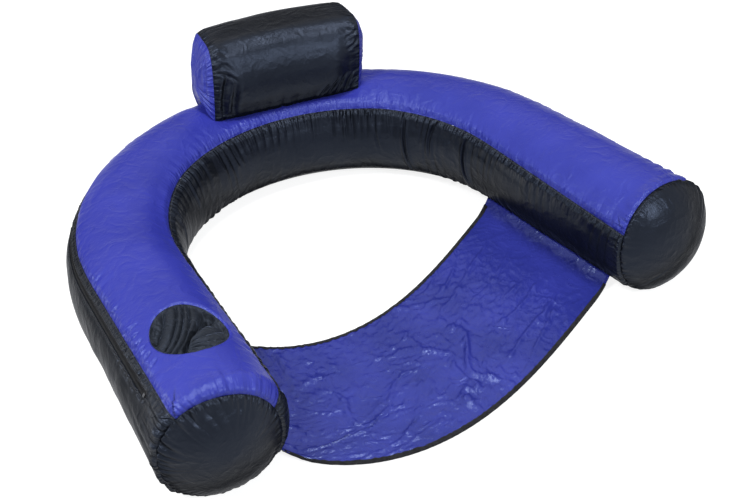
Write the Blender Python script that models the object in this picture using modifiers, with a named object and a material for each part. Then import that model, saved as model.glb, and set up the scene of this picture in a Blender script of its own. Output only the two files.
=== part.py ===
"""Inflatable pool chair: a U-shaped air tube in a sewn nylon cover, with a pillow headrest on its
back, a sling seat between its arms, a cup pouch and a zipper.

Metres, +Z up. The chair faces -Y, and its arms end there. The cup pouch and the zipper are on the
-X arm. The origin is under the middle of the whole chair, on the floor.

A place on the tube is given by a run, which is the length along its centre line from the middle of
the back (negative on the -X side), and an angle round its section from the top (positive on the
outside of the U).
"""

import math

import bmesh
import bpy
from mathutils import Matrix, Vector

# The tube and its centre line
TUBE_WIDTH = 0.200
TUBE_HEIGHT = 0.206
SECTION_POWER = 2.13
FLOOR_PRESS = 0.007
TUBE_TOP = TUBE_HEIGHT - FLOOR_PRESS
BACK_RADIUS = 0.404
ROUND_RUN = 0.543
EASE_RUN = 0.145
HALF_RUN = 0.990
CAP_DOME = 0.055
CAP_POWER = 1.6
TRACE_STEP = 0.002

# Seams of the cover, in degrees from the top of the section
INNER_TOP_SEAM = -49.0
OUTER_TOP_SEAM = 50.0
OUTER_LOW_SEAM = 140.0
INNER_LOW_SEAM = -136.0
ARM_ROLL = 14.6
TOP_GAIN = 3.4
ROLL_START = 0.300

# Cloth, film and the clearances between them
COVER = 0.0010
FILM = 0.0010
SEAM_GAP = 0.0008
LAYER_GAP = 0.0005
FIT_GAP = 0.0003

# Zipper on the outer side of the -X arm
ZIPPER_FRONT_MARGIN = 0.055
ZIPPER_FRONT_RUN = HALF_RUN - ZIPPER_FRONT_MARGIN
ZIPPER_REAR_RUN = 0.040
ZIPPER_DROP = 0.009
ZIPPER_BAND = 0.016
TAPE = 0.0008
TAPE_EDGE_GAP = 0.0004
COIL_RADIUS = 0.0015
COIL_LIFT = 0.0006
STOP_LENGTH = 0.005
STOP_WIDTH = 0.0060
STOP_HEIGHT = 0.0012
SLIDER_LENGTH = 0.011
SLIDER_WIDTH = 0.0090
SLIDER_HEIGHT = 0.0034
SLIDER_GAP = 0.0006
LUG_HEIGHT = 0.0038
LUG_LENGTH = 0.0046
LUG_THICKNESS = 0.0014
PIN_RADIUS = 0.0007
TAB_LENGTH = 0.026
TAB_TAIL = 0.0020
TAB_WIDTH = 0.0055
TAB_HALF_THICKNESS = 0.0012

# Cup pouch in the -X arm
CUP_MARGIN = 0.126
CUP_RUN = HALF_RUN - CUP_MARGIN
CUP_OFFSET = -0.016
CUP_RADIUS = 0.060
CUP_BASE_RADIUS = 0.040
CUP_DEPTH = 0.100
POUCH = 0.0010

# Pillow headrest
HEADREST_RUN = 0.062
HEADREST_OFFSET = -0.0625
HEADREST_WIDTH = 0.306
HEADREST_DEPTH = 0.142
HEADREST_HEIGHT = 0.166
HEADREST_SIDE_LEAN = 0.085
HEADREST_BEND = 0.016
HEADREST_POWER = 5.0
HEADREST_CROWN = 0.002
HEADREST_END_BULGE = 0.022
HEADREST_GAP = 0.0011
HEADREST_FOLD_DROP = 0.029
HEADREST_FOLD_REACH = 0.018
HEADREST_LOW = TUBE_TOP - 0.039
HEADREST_SLACK = 0.0012

# Sling seat between the arms
SEAT_FRONT_MARGIN = 0.042
SEAT_LENGTH = 0.343
SEAT_FRONT_RUN = HALF_RUN - SEAT_FRONT_MARGIN
SEAT_REAR_RUN = SEAT_FRONT_RUN - SEAT_LENGTH
SEAT_FRONT_BULGE = 0.152
SEAT_REAR_BULGE = 0.186
SEAT_PEAK = 0.34
SEAT_CLOTH = 0.0010
SEAT_FLOOR = 0.0024
SEAT_DROP = 0.055
SEAT_SIDE_GAP = 0.0011
FOLD_HEIGHT = 0.0075
LONG_FOLDS = 5.4
CROSS_FOLDS = 2.9
BINDING = 0.0008
BINDING_GAP = 0.0006
BINDING_LEG = 0.0070
BINDING_SIDE_GAP = 0.0060

# Inflation valves
VALVE_FLANGE_RADIUS = 0.0110
VALVE_SEAT_GAP = 0.0013
VALVE_FLANGE = 0.0012
VALVE_NECK_RADIUS = 0.0080
VALVE_BORE_RADIUS = 0.0055
VALVE_NECK = 0.0080
VALVE_CAP_RADIUS = 0.0090
VALVE_CAP = 0.0018
VALVE_STUB = 0.0050
VALVE_STUB_TAPER = 0.0008
VALVE_FLAP = 0.0006
VALVE_FLAP_RADIUS = 0.0072
VALVE_LUG_REACH = 0.0130
VALVE_LUG_WIDTH = 0.0050
VALVE_LUG_HEIGHT = 0.0020
MAIN_VALVE_RUN = 0.330
MAIN_VALVE_ROW = 11
HEADREST_VALVE_ACROSS = 0.65
HEADREST_VALVE_UP = 0.50

# Facets
INNER_ROWS = 4
TOP_ROWS = 4
OUTER_ROWS = 3
BOTTOM_ROWS = 4
FRONT_COLUMNS = 1
ZIPPER_COLUMNS = 15
PLAIN_COLUMNS = 18
CAP_RINGS = 4
ZIPPER_STEPS = 3
HEADREST_COLUMNS = 10
HEADREST_ROUND = 18
HEADREST_BASE_ROWS = 10
HEADREST_END_RINGS = 3
POUCH_SIDES = 24
POUCH_ROWS = 3
POUCH_BASE_ROWS = 2
SEAT_COLUMNS = 26
SEAT_ROWS = 20
ROUND_SIDES = 24

BLUE = (0.058, 0.062, 0.47, 1.0)
BLACK = (0.012, 0.012, 0.015, 1.0)
FILM_GREY = (0.55, 0.58, 0.62, 1.0)
STEEL = (0.42, 0.42, 0.44, 1.0)
VALVE_WHITE = (0.72, 0.73, 0.74, 1.0)


def clear_scene():
    for item in list(bpy.data.objects):
        bpy.data.objects.remove(item, do_unlink=True)


def new_collection(name):
    collection = bpy.data.collections.new(name)
    bpy.context.scene.collection.children.link(collection)
    return collection


def new_material(name, colour, roughness, metallic=0.0):
    material = bpy.data.materials.new(name)
    material.use_nodes = True
    shader = material.node_tree.nodes["Principled BSDF"]
    shader.inputs["Base Color"].default_value = colour
    shader.inputs["Roughness"].default_value = roughness
    shader.inputs["Metallic"].default_value = metallic
    return material


clear_scene()
parts = new_collection("inflatable_pool_chair")
cutters = new_collection("cutters")
nylon_blue = new_material("nylon_blue", BLUE, 0.42)
nylon_black = new_material("nylon_black", BLACK, 0.48)
binding_black = new_material("binding_black", BLACK, 0.65)
bladder_film = new_material("bladder_film", FILM_GREY, 0.30)
zipper_black = new_material("zipper_black", BLACK, 0.55)
slider_metal = new_material("slider_metal", STEEL, 0.35, 1.0)
valve_vinyl = new_material("valve_vinyl", VALVE_WHITE, 0.35)

chair = bpy.data.objects.new("chair", None)
parts.objects.link(chair)


# Objects and their modifiers
def put(mesh, name, material, parent=chair):
    made = bpy.data.objects.new(name, mesh)
    made.data.materials.append(material)
    made.parent = parent
    parts.objects.link(made)
    return made


def put_cutter(mesh, name):
    made = bpy.data.objects.new(name, mesh)
    made.parent = chair
    made.hide_render = True
    made.display_type = "WIRE"
    cutters.objects.link(made)
    return made


def cut(target, cutter):
    modifier = target.modifiers.new(cutter.name, "BOOLEAN")
    modifier.operation = "DIFFERENCE"
    modifier.object = cutter


def thicken(target, thickness, offset=-1.0):
    """Gives a skin its thickness: inward at offset -1, outward at 1 and both ways at 0."""
    modifier = target.modifiers.new("thickness", "SOLIDIFY")
    modifier.thickness = thickness
    modifier.offset = offset
    modifier.use_even_offset = True


def finish_mesh(form, name, smooth=True):
    mesh = bpy.data.meshes.new(name)
    form.to_mesh(mesh)
    form.free()
    if smooth:
        mesh.shade_smooth()
        mesh.set_sharp_from_angle(angle=math.radians(40))
    return mesh


def grid_mesh(name, columns, rows, place, skip=None, weld=False):
    """A grid whose vertices go to place(column, row). Its normals are along columns x rows."""
    form = bmesh.new()
    bmesh.ops.create_grid(form, x_segments=columns, y_segments=rows, size=0.5)
    if skip:
        gone = []
        for face in form.faces:
            middle = face.calc_center_median()
            if skip((middle.x + 0.5) * columns, (middle.y + 0.5) * rows):
                gone.append(face)
        bmesh.ops.delete(form, geom=gone, context="FACES")
    for vertex in form.verts:
        column = round((vertex.co.x + 0.5) * columns)
        row = round((vertex.co.y + 0.5) * rows)
        vertex.co = place(column, row)
    if weld:
        bmesh.ops.remove_doubles(form, verts=form.verts, dist=0.000001)
    return finish_mesh(form, name)


def ball_mesh(name, stations, sides, place):
    """A closed skin from a sphere: station runs from pole to pole, and side goes round."""
    form = bmesh.new()
    bmesh.ops.create_uvsphere(form, u_segments=sides, v_segments=stations, radius=1.0)
    for vertex in form.verts:
        station = round(math.acos(max(-1.0, min(1.0, vertex.co.z))) / math.pi * stations)
        side = round(math.atan2(vertex.co.y, vertex.co.x) / math.tau * sides) % sides
        vertex.co = place(station, side)
    return finish_mesh(form, name)


def cylinder_mesh(name, radius, low, high, top_radius=None, sides=ROUND_SIDES):
    form = bmesh.new()
    end_radius = radius if top_radius is None else top_radius
    middle = Matrix.Translation((0.0, 0.0, (low + high) / 2))
    bmesh.ops.create_cone(form, cap_ends=True, segments=sides, radius1=radius, radius2=end_radius,
                          depth=high - low, matrix=middle)
    return finish_mesh(form, name)


def box_mesh(name, low, high):
    form = bmesh.new()
    size = Vector(high) - Vector(low)
    middle = (Vector(high) + Vector(low)) / 2
    place = Matrix.Translation(middle) @ Matrix.Diagonal((*size, 1.0))
    bmesh.ops.create_cube(form, size=1.0, matrix=place)
    return finish_mesh(form, name, smooth=False)


def join_solids(target, others):
    """Boolean union of plain solids, so that target stays one body."""
    for other in others:
        modifier = target.modifiers.new(other.name, "BOOLEAN")
        modifier.operation = "UNION"
        modifier.object = other


# The centre line of the tube
def curvature(run):
    share = (abs(run) - ROUND_RUN) / EASE_RUN
    share = max(0.0, min(1.0, share))
    return (1.0 - share * share * (3.0 - 2.0 * share)) / BACK_RADIUS


def trace_centre_line():
    """Points and headings at even runs from the middle of the back to past the cap."""
    steps = math.ceil((HALF_RUN + CAP_DOME) / TRACE_STEP) + 1
    x, y, heading = 0.0, 0.0, 0.0
    traced = [(x, y, heading)]
    for step in range(steps):
        turn = curvature((step + 0.5) * TRACE_STEP) * TRACE_STEP
        middle = heading + turn / 2
        x += math.cos(middle) * TRACE_STEP
        y -= math.sin(middle) * TRACE_STEP
        heading += turn
        traced.append((x, y, heading))
    return traced


CENTRE_LINE = trace_centre_line()


def centre_line(run):
    """The centre line's point, outward normal and tangent at a run, in plan."""
    place = min(abs(run) / TRACE_STEP, len(CENTRE_LINE) - 1.001)
    index = int(place)
    share = place - index
    before, after = CENTRE_LINE[index], CENTRE_LINE[index + 1]
    x, y, heading = [a + (b - a) * share for a, b in zip(before, after)]
    side = -1.0 if run < 0 else 1.0
    point = Vector((side * x, y, 0.0))
    normal = Vector((side * math.sin(heading), math.cos(heading), 0.0))
    tangent = Vector((math.cos(heading), -side * math.sin(heading), 0.0))
    return point, normal, tangent


def run_near(x, y):
    """The run and the outward offset of the plan point x, y."""
    best = None
    side = -1.0 if x < 0 else 1.0
    for index, (line_x, line_y, _heading) in enumerate(CENTRE_LINE):
        away = math.hypot(side * x - line_x, y - line_y)
        if best is None or away < best[0]:
            best = (away, index)
    run = side * best[1] * TRACE_STEP
    point, normal, _tangent = centre_line(run)
    return run, (Vector((x, y, 0.0)) - point).dot(normal)


# The section of the tube
def section_reach(angle, inset=0.0):
    turn = math.radians(angle)
    across = abs(math.sin(turn)) / (TUBE_WIDTH / 2 - inset)
    up = abs(math.cos(turn)) / (TUBE_HEIGHT / 2 - inset)
    return (across ** SECTION_POWER + up ** SECTION_POWER) ** (-1.0 / SECTION_POWER)


def skin_point(run, angle, inset=0.0, shrink=1.0):
    point, normal, _tangent = centre_line(run)
    reach = section_reach(angle, inset) * shrink
    turn = math.radians(angle)
    place = point + normal * (reach * math.sin(turn))
    place.z = max(inset, TUBE_HEIGHT / 2 - FLOOR_PRESS + reach * math.cos(turn))
    return place


def over_tube(x, y):
    """Height of the tube's top over the plan point x, y."""
    _run, offset = run_near(x, y)
    share = min(1.0, abs(offset) / (TUBE_WIDTH / 2))
    rise = TUBE_HEIGHT / 2 * (1.0 - share ** SECTION_POWER) ** (1.0 / SECTION_POWER)
    return TUBE_HEIGHT / 2 - FLOOR_PRESS + rise


def degrees_along_skin(length):
    return math.degrees(length / (TUBE_WIDTH / 2))


def ring_angles(run):
    """Section angles of the rows at a run, from the inner lower seam right round to it again."""
    share = max(0.0, (abs(run) - ROLL_START) / (HALF_RUN - ROLL_START))
    share = min(1.0, share)
    inner = INNER_TOP_SEAM - (ARM_ROLL + TOP_GAIN) * share
    outer = OUTER_TOP_SEAM - (ARM_ROLL - TOP_GAIN) * share
    band_top = outer + degrees_along_skin(ZIPPER_DROP)
    band_low = band_top + degrees_along_skin(ZIPPER_BAND)
    corners = [
        (INNER_LOW_SEAM, INNER_ROWS),
        (inner, TOP_ROWS),
        (outer, 1),
        (band_top, 1),
        (band_low, OUTER_ROWS),
        (OUTER_LOW_SEAM, BOTTOM_ROWS),
        (INNER_LOW_SEAM + 360.0, 0),
    ]
    angles = []
    for (start, rows), (end, _rows) in zip(corners, corners[1:]):
        angles += [start + (end - start) * row / rows for row in range(rows)]
    return angles + [INNER_LOW_SEAM + 360.0]


def run_stations():
    """Runs of the columns that every skin of the tube shares, so that their facets stay parallel."""
    corners = [
        (-HALF_RUN, FRONT_COLUMNS),
        (-ZIPPER_FRONT_RUN, ZIPPER_COLUMNS),
        (-ZIPPER_REAR_RUN, PLAIN_COLUMNS),
        (HALF_RUN, 0),
    ]
    runs = []
    for (start, columns), (end, _columns) in zip(corners, corners[1:]):
        runs += [start + (end - start) * column / columns for column in range(columns)]
    return runs + [HALF_RUN]


RUNS = run_stations()
COLUMNS = len(RUNS) - 1
TOP_START = INNER_ROWS
OUTER_START = INNER_ROWS + TOP_ROWS
BAND_START = OUTER_START + 1
BOTTOM_START = BAND_START + 1 + OUTER_ROWS
RING_ROWS = BOTTOM_START + BOTTOM_ROWS


# Cover
def cover_panel(name, first_row, rows, material, skip=None):
    def place(column, row):
        run = RUNS[column]
        if column == 0:
            run += SEAM_GAP / 2
        if column == COLUMNS:
            run -= SEAM_GAP / 2
        angle = ring_angles(run)[first_row + row]
        if row == 0:
            angle += degrees_along_skin(SEAM_GAP / 2)
        if row == rows:
            angle -= degrees_along_skin(SEAM_GAP / 2)
        return skin_point(run, angle)

    mesh = grid_mesh(name, COLUMNS, rows, place, skip)
    panel = put(mesh, name, material)
    thicken(panel, COVER)
    return panel


def cap_ring(share, inset=0.0):
    """Run past the cap's seam, and shrink, of a ring of the cap. Share is 0 at the seam."""
    turn = share * math.pi / 2
    past = (CAP_DOME - inset) * math.sin(turn) ** (2.0 / CAP_POWER)
    shrink = 0.0
    if share < 1.0:
        shrink = math.cos(turn) ** (2.0 / CAP_POWER)
    return past, shrink


def end_cap(name, side):
    def place(column, row):
        share = column / CAP_RINGS if side > 0 else 1.0 - column / CAP_RINGS
        past, shrink = cap_ring(share)
        run = side * (HALF_RUN + max(past, SEAM_GAP / 2))
        angle = ring_angles(side * HALF_RUN)[row % RING_ROWS]
        return skin_point(run, angle, 0.0, shrink)

    mesh = grid_mesh(name, CAP_RINGS, RING_ROWS, place, weld=True)
    cap = put(mesh, name, nylon_black)
    thicken(cap, COVER)
    return cap


def in_zipper_band(column, row):
    in_columns = FRONT_COLUMNS < column < FRONT_COLUMNS + ZIPPER_COLUMNS
    return in_columns and 1 < row < 2


def make_cover():
    top = cover_panel("cover_top_panel", TOP_START, TOP_ROWS, nylon_blue)
    inner = cover_panel("cover_inner_panel", 0, INNER_ROWS, nylon_black)
    outer = cover_panel("cover_outer_panel", OUTER_START, 2 + OUTER_ROWS, nylon_black, in_zipper_band)
    bottom = cover_panel("cover_bottom_panel", BOTTOM_START, BOTTOM_ROWS, nylon_black)
    end_cap("end_cap_left", -1)
    end_cap("end_cap_right", 1)
    return top, inner, outer, bottom


# Bladder of the tube
def bladder_mesh(name, inset):
    stations = COLUMNS + 2 * CAP_RINGS

    def place(station, side):
        if station < CAP_RINGS:
            past, shrink = cap_ring(1.0 - station / CAP_RINGS, inset)
            run = -HALF_RUN - past
        elif station > CAP_RINGS + COLUMNS:
            past, shrink = cap_ring((station - CAP_RINGS - COLUMNS) / CAP_RINGS, inset)
            run = HALF_RUN + past
        else:
            run, shrink = RUNS[station - CAP_RINGS], 1.0
        return skin_point(run, ring_angles(run)[side], inset, shrink)

    return ball_mesh(name, stations, RING_ROWS, place)


def cup_place():
    point, normal, _tangent = centre_line(-CUP_RUN)
    return point + normal * CUP_OFFSET


def cup_low():
    middle = cup_place()
    return over_tube(middle.x, middle.y) - CUP_DEPTH


def cup_radius(height):
    """Outer radius of the pouch at a height: it narrows downward at a steady rate."""
    return CUP_BASE_RADIUS + (CUP_RADIUS - CUP_BASE_RADIUS) / CUP_DEPTH * (height - cup_low())


def well_cutter(name, clearance):
    """A well of the pouch's shape, wider by the clearance and open upward."""
    low = cup_low() - clearance
    high = TUBE_HEIGHT + clearance
    base_radius = CUP_BASE_RADIUS + clearance
    mesh = cylinder_mesh(name, base_radius, low, high, cup_radius(high) + clearance, POUCH_SIDES)
    cutter = put_cutter(mesh, name)
    cutter.location = cup_place()
    return cutter


def make_main_bladder():
    skin = COVER + LAYER_GAP
    bladder = put(bladder_mesh("main_bladder", skin), "main_bladder", bladder_film)
    air = put_cutter(bladder_mesh("main_air", skin + FILM), "main_air")
    cut(air, well_cutter("main_air_well", 2 * LAYER_GAP + FILM))
    cut(bladder, well_cutter("main_well", 2 * LAYER_GAP))
    cut(bladder, air)
    return bladder


# Cup pouch
def pouch_rim(around):
    """The pouch's rim in a direction from its middle, level with the tube's top there."""
    middle = cup_place()
    radius = CUP_RADIUS
    for _turn in range(4):
        rim = middle + around * radius
        rim.z = over_tube(rim.x, rim.y)
        radius = cup_radius(rim.z)
    return rim


def make_cup_pouch(top_panel):
    middle = cup_place()
    middle.z = cup_low()

    def place(column, row):
        turn = math.tau * (column % POUCH_SIDES) / POUCH_SIDES
        around = Vector((math.cos(turn), math.sin(turn), 0.0))
        corner = middle + around * CUP_BASE_RADIUS
        if row <= POUCH_BASE_ROWS:
            return middle.lerp(corner, row / POUCH_BASE_ROWS)
        return corner.lerp(pouch_rim(around), (row - POUCH_BASE_ROWS) / POUCH_ROWS)

    mesh = grid_mesh("cup_pouch", POUCH_SIDES, POUCH_BASE_ROWS + POUCH_ROWS, place, weld=True)
    pouch = put(mesh, "cup_pouch", nylon_black)
    thicken(pouch, POUCH)
    cut(top_panel, well_cutter("cup_hole", SEAM_GAP / 2))
    return pouch


# Zipper
def zipper_point(run, across, lift=0.0):
    """A point of the zipper's band: across from its middle, towards the top, and lifted off it."""
    angles = ring_angles(run)
    top = skin_point(run, angles[BAND_START])
    low = skin_point(run, angles[BAND_START + 1])
    _point, _normal, tangent = centre_line(run)
    up = (top - low).normalized()
    outward = tangent.cross(-up).normalized()
    return (top + low) / 2 + up * across + outward * lift


def zipper_frame(run):
    """Frame on the zipper: X along the run, Y across it and Z outward."""
    _point, _normal, tangent = centre_line(run)
    up = (zipper_point(run, 0.001) - zipper_point(run, 0.0)).normalized()
    outward = tangent.cross(-up).normalized()
    across = outward.cross(tangent)
    turn = Matrix((tangent, across, outward)).transposed().to_4x4()
    return Matrix.Translation(zipper_point(run, 0.0)) @ turn


def zipper_run(share):
    """Run at a share of the zipper, 0 at its front end."""
    front = -ZIPPER_FRONT_RUN + STOP_LENGTH / 2
    rear = -ZIPPER_REAR_RUN - STOP_LENGTH / 2
    return front + (rear - front) * share


def zipper_tape(name, side):
    steps = ZIPPER_COLUMNS * ZIPPER_STEPS
    inner = COIL_RADIUS + FIT_GAP
    outer = ZIPPER_BAND / 2 - TAPE_EDGE_GAP

    def place(column, row):
        edges = (outer, inner) if side > 0 else (-inner, -outer)
        return zipper_point(zipper_run(column / steps), edges[row])

    tape = put(grid_mesh(name, steps, 1, place), name, zipper_black)
    thicken(tape, TAPE)
    return tape


def make_coil():
    steps = ZIPPER_COLUMNS * ZIPPER_STEPS
    curve = bpy.data.curves.new("zipper_coil", "CURVE")
    curve.dimensions = "3D"
    curve.bevel_depth = COIL_RADIUS
    curve.bevel_resolution = 1
    curve.use_fill_caps = True
    spline = curve.splines.new("POLY")
    spline.points.add(steps)
    for index, point in enumerate(spline.points):
        point.co = (*zipper_point(zipper_run(index / steps), 0.0, COIL_LIFT), 1.0)
    return put(curve, "zipper_coil", zipper_black)


def zipper_stop(name, run):
    """A stop clamped over the coil's end, just above the tapes."""
    low = COIL_LIFT + COIL_RADIUS + FIT_GAP
    half = STOP_LENGTH / 2
    mesh = box_mesh(name, (-half, -STOP_WIDTH / 2, low), (half, STOP_WIDTH / 2, low + STOP_HEIGHT))
    stop = put(mesh, name, slider_metal)
    stop.matrix_local = zipper_frame(run)
    return stop


def make_slider():
    """The slider rides over the coil, and its body turns about the centre of the back's curve."""
    run = -ZIPPER_REAR_RUN - STOP_LENGTH - SLIDER_LENGTH
    frame = zipper_frame(run)
    pivot = bpy.data.objects.new("zipper_run_pivot", None)
    pivot.parent = chair
    pivot.location = (0.0, -BACK_RADIUS, 0.0)
    parts.objects.link(pivot)
    into_pivot = Matrix.Translation((0.0, BACK_RADIUS, 0.0)) @ frame

    coil_top = COIL_LIFT + COIL_RADIUS
    half_length, half_width = SLIDER_LENGTH / 2, SLIDER_WIDTH / 2
    top = SLIDER_GAP + SLIDER_HEIGHT
    slider = put(box_mesh("zipper_slider", (-half_length, -half_width, SLIDER_GAP),
                          (half_length, half_width, top)), "zipper_slider", slider_metal, pivot)
    slider.matrix_local = into_pivot
    side = COIL_RADIUS + SLIDER_GAP
    channel = put_cutter(box_mesh("slider_channel", (-SLIDER_LENGTH, -side, -SLIDER_GAP),
                                  (SLIDER_LENGTH, side, coil_top + SLIDER_GAP)), "slider_channel")
    channel.matrix_local = frame
    cut(slider, channel)

    eye_height = top + math.hypot(TAB_TAIL, TAB_HALF_THICKNESS) + FIT_GAP
    lug_gap = TAB_WIDTH / 2 + FIT_GAP
    lugs = []
    for name, low in (("slider_lug_upper", lug_gap), ("slider_lug_lower", -lug_gap - LUG_THICKNESS)):
        box = box_mesh(name, (-LUG_LENGTH / 2, low, top - FIT_GAP),
                       (LUG_LENGTH / 2, low + LUG_THICKNESS, top + LUG_HEIGHT))
        lugs.append(put_cutter(box, name))
    pin_length = lug_gap + LUG_THICKNESS / 2
    pin = put_cutter(cylinder_mesh("slider_pin", PIN_RADIUS, -pin_length, pin_length, sides=12), "slider_pin")
    across = Matrix.Translation((0.0, 0.0, eye_height)) @ Matrix.Rotation(math.pi / 2, 4, "X")
    pin.matrix_local = frame @ across
    for lug in lugs:
        lug.matrix_local = frame
    join_solids(slider, [*lugs, pin])

    swing = bpy.data.objects.new("pull_tab_pivot", None)
    swing.parent = pivot
    swing.matrix_local = into_pivot @ Matrix.Translation((0.0, 0.0, eye_height))
    parts.objects.link(swing)
    half_tab = TAB_WIDTH / 2
    tab = put(box_mesh("zipper_pull_tab", (-TAB_TAIL, -half_tab, -TAB_HALF_THICKNESS),
                       (TAB_LENGTH, half_tab, TAB_HALF_THICKNESS)), "zipper_pull_tab", slider_metal, swing)
    eye = put_cutter(cylinder_mesh("pull_tab_eye", PIN_RADIUS + FIT_GAP, -TAB_WIDTH, TAB_WIDTH, sides=12),
                     "pull_tab_eye")
    eye.matrix_local = frame @ across
    cut(tab, eye)
    return pivot, swing


def make_zipper():
    zipper_tape("zipper_upper_tape", 1)
    zipper_tape("zipper_lower_tape", -1)
    make_coil()
    zipper_stop("zipper_front_stop", zipper_run(0.0) + STOP_LENGTH / 2)
    zipper_stop("zipper_rear_stop", zipper_run(1.0) - STOP_LENGTH / 2)
    return make_slider()


# Headrest
def headrest_frame():
    """Frame on the fold line before the pillow's front edge: X along it, Y to the rear, Z up."""
    point, normal, tangent = centre_line(HEADREST_RUN)
    turn = Matrix((tangent, normal, Vector((0.0, 0.0, 1.0)))).transposed().to_4x4()
    place = point + normal * (HEADREST_OFFSET - HEADREST_FOLD_REACH)
    place.z = TUBE_TOP - HEADREST_FOLD_DROP
    return Matrix.Translation(place) @ turn


def trace_outline(inset):
    """Side outline of the pillow by even lengths: up its front, over its top and down its rear."""
    half_depth = HEADREST_DEPTH / 2 - inset
    height = HEADREST_HEIGHT - inset
    fine = 400
    points = []
    for index in range(fine + 1):
        turn = math.pi * index / fine
        flat = math.copysign(abs(math.cos(turn)) ** (2.0 / HEADREST_POWER), math.cos(turn))
        rise = abs(math.sin(turn)) ** (2.0 / HEADREST_POWER)
        points.append((HEADREST_DEPTH / 2 - half_depth * flat, height * rise))
    lengths = [0.0]
    for before, after in zip(points, points[1:]):
        lengths.append(lengths[-1] + math.dist(before, after))
    return points, lengths


OUTLINES = {}


def outline_point(share, inset):
    if inset not in OUTLINES:
        OUTLINES[inset] = trace_outline(inset)
    points, lengths = OUTLINES[inset]
    target = share * lengths[-1]
    index = 1
    while index < len(points) - 1 and lengths[index] < target:
        index += 1
    part = (target - lengths[index - 1]) / (lengths[index] - lengths[index - 1])
    before, after = points[index - 1], points[index]
    return before[0] + (after[0] - before[0]) * part, before[1] + (after[1] - before[1]) * part


def headrest_point(across, depth, height, inset=0.0):
    """A point in the headrest's frame. The pillow bends with the tube, and its underside follows it."""
    back = HEADREST_FOLD_REACH + depth - HEADREST_BEND * (2 * across / HEADREST_WIDTH) ** 2
    frame = headrest_frame()
    plan = frame @ Vector((across, back, 0.0))
    under = max(HEADREST_LOW, over_tube(plan.x, plan.y)) + HEADREST_GAP - frame.translation.z
    if inset:
        under += inset + HEADREST_SLACK
    fade = (1.0 - min(1.0, height / HEADREST_HEIGHT)) ** 2
    level = height * (1.0 - fade) + (under + height) * fade
    return Vector((across + HEADREST_SIDE_LEAN * height, back, level))


def crowned(across, depth, height, inset):
    """The pillow swells between its ends and between its bottom seams."""
    half_width = HEADREST_WIDTH / 2 - inset
    share = min(1.0, abs(across) / half_width)
    swell = HEADREST_CROWN * (1.0 - share ** 2.4)
    middle = HEADREST_DEPTH / 2
    level = min(1.0, height / HEADREST_HEIGHT)
    lift = math.sin(min(1.0, level * 2.2) * math.pi / 2)
    depth += swell * lift * (depth - middle) / middle
    return headrest_point(across, depth, height + swell * level, inset)


def wrap_mesh(name):
    def place(column, row):
        half = HEADREST_WIDTH / 2 - SEAM_GAP / 2
        across = -half + 2 * half * column / HEADREST_COLUMNS
        edge = SEAM_GAP / (2 * HEADREST_HEIGHT)
        share = edge + (1.0 - 2 * edge) * row / HEADREST_ROUND
        return crowned(across, *outline_point(share, 0.0), 0.0)

    return grid_mesh(name, HEADREST_COLUMNS, HEADREST_ROUND, place)


def closed_outline(index, inset):
    """The pillow's outline with its underside: HEADREST_ROUND rows over it and the rest beneath."""
    if index <= HEADREST_ROUND:
        return outline_point(index / HEADREST_ROUND, inset)
    share = (index - HEADREST_ROUND) / HEADREST_BASE_ROWS
    reach = HEADREST_DEPTH - 2 * inset
    return HEADREST_DEPTH - inset - reach * share, 0.0


HEADREST_SIDES = HEADREST_ROUND + HEADREST_BASE_ROWS


def end_spot(side, ring, index, inset):
    """A point of an end of the pillow. Ring is 0 at the centre and 1 at the seam."""
    depth, height = closed_outline(index % HEADREST_SIDES, inset)
    middle = (HEADREST_DEPTH / 2, HEADREST_HEIGHT * 0.48)
    depth = middle[0] + (depth - middle[0]) * ring
    height = middle[1] + (height - middle[1]) * ring
    bulge = HEADREST_END_BULGE * (1.0 - ring ** 2)
    across = side * (HEADREST_WIDTH / 2 - inset + bulge)
    return headrest_point(across, depth, height, inset)


def end_mesh(name, side):
    def place(column, row):
        ring = column / HEADREST_END_RINGS
        ring *= 1.0 - SEAM_GAP / HEADREST_DEPTH
        index = row % HEADREST_SIDES
        if side > 0:
            index = -row % HEADREST_SIDES
        spot = end_spot(side, ring, index, 0.0)
        spot.x += side * SEAM_GAP
        return spot

    return grid_mesh(name, HEADREST_END_RINGS, HEADREST_SIDES, place, weld=True)


def base_mesh(name):
    def place(column, row):
        half = HEADREST_WIDTH / 2 - SEAM_GAP / 2
        across = -half + 2 * half * column / HEADREST_COLUMNS
        edge = COVER + SEAM_GAP
        depth = HEADREST_DEPTH - edge - (HEADREST_DEPTH - 2 * edge) * row / HEADREST_BASE_ROWS
        return headrest_point(across, depth, 0.0)

    return grid_mesh(name, HEADREST_COLUMNS, HEADREST_BASE_ROWS, place)


def headrest_ball(name, inset):
    stations = HEADREST_COLUMNS + 2 * HEADREST_END_RINGS

    def place(station, side):
        if station < HEADREST_END_RINGS:
            return end_spot(-1, station / HEADREST_END_RINGS, side, inset)
        if station > stations - HEADREST_END_RINGS:
            return end_spot(1, (stations - station) / HEADREST_END_RINGS, side, inset)
        half = HEADREST_WIDTH / 2 - inset
        across = -half + 2 * half * (station - HEADREST_END_RINGS) / HEADREST_COLUMNS
        depth, height = closed_outline(side, inset)
        return crowned(across, depth, height, inset)

    return ball_mesh(name, stations, HEADREST_SIDES, place)


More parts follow.
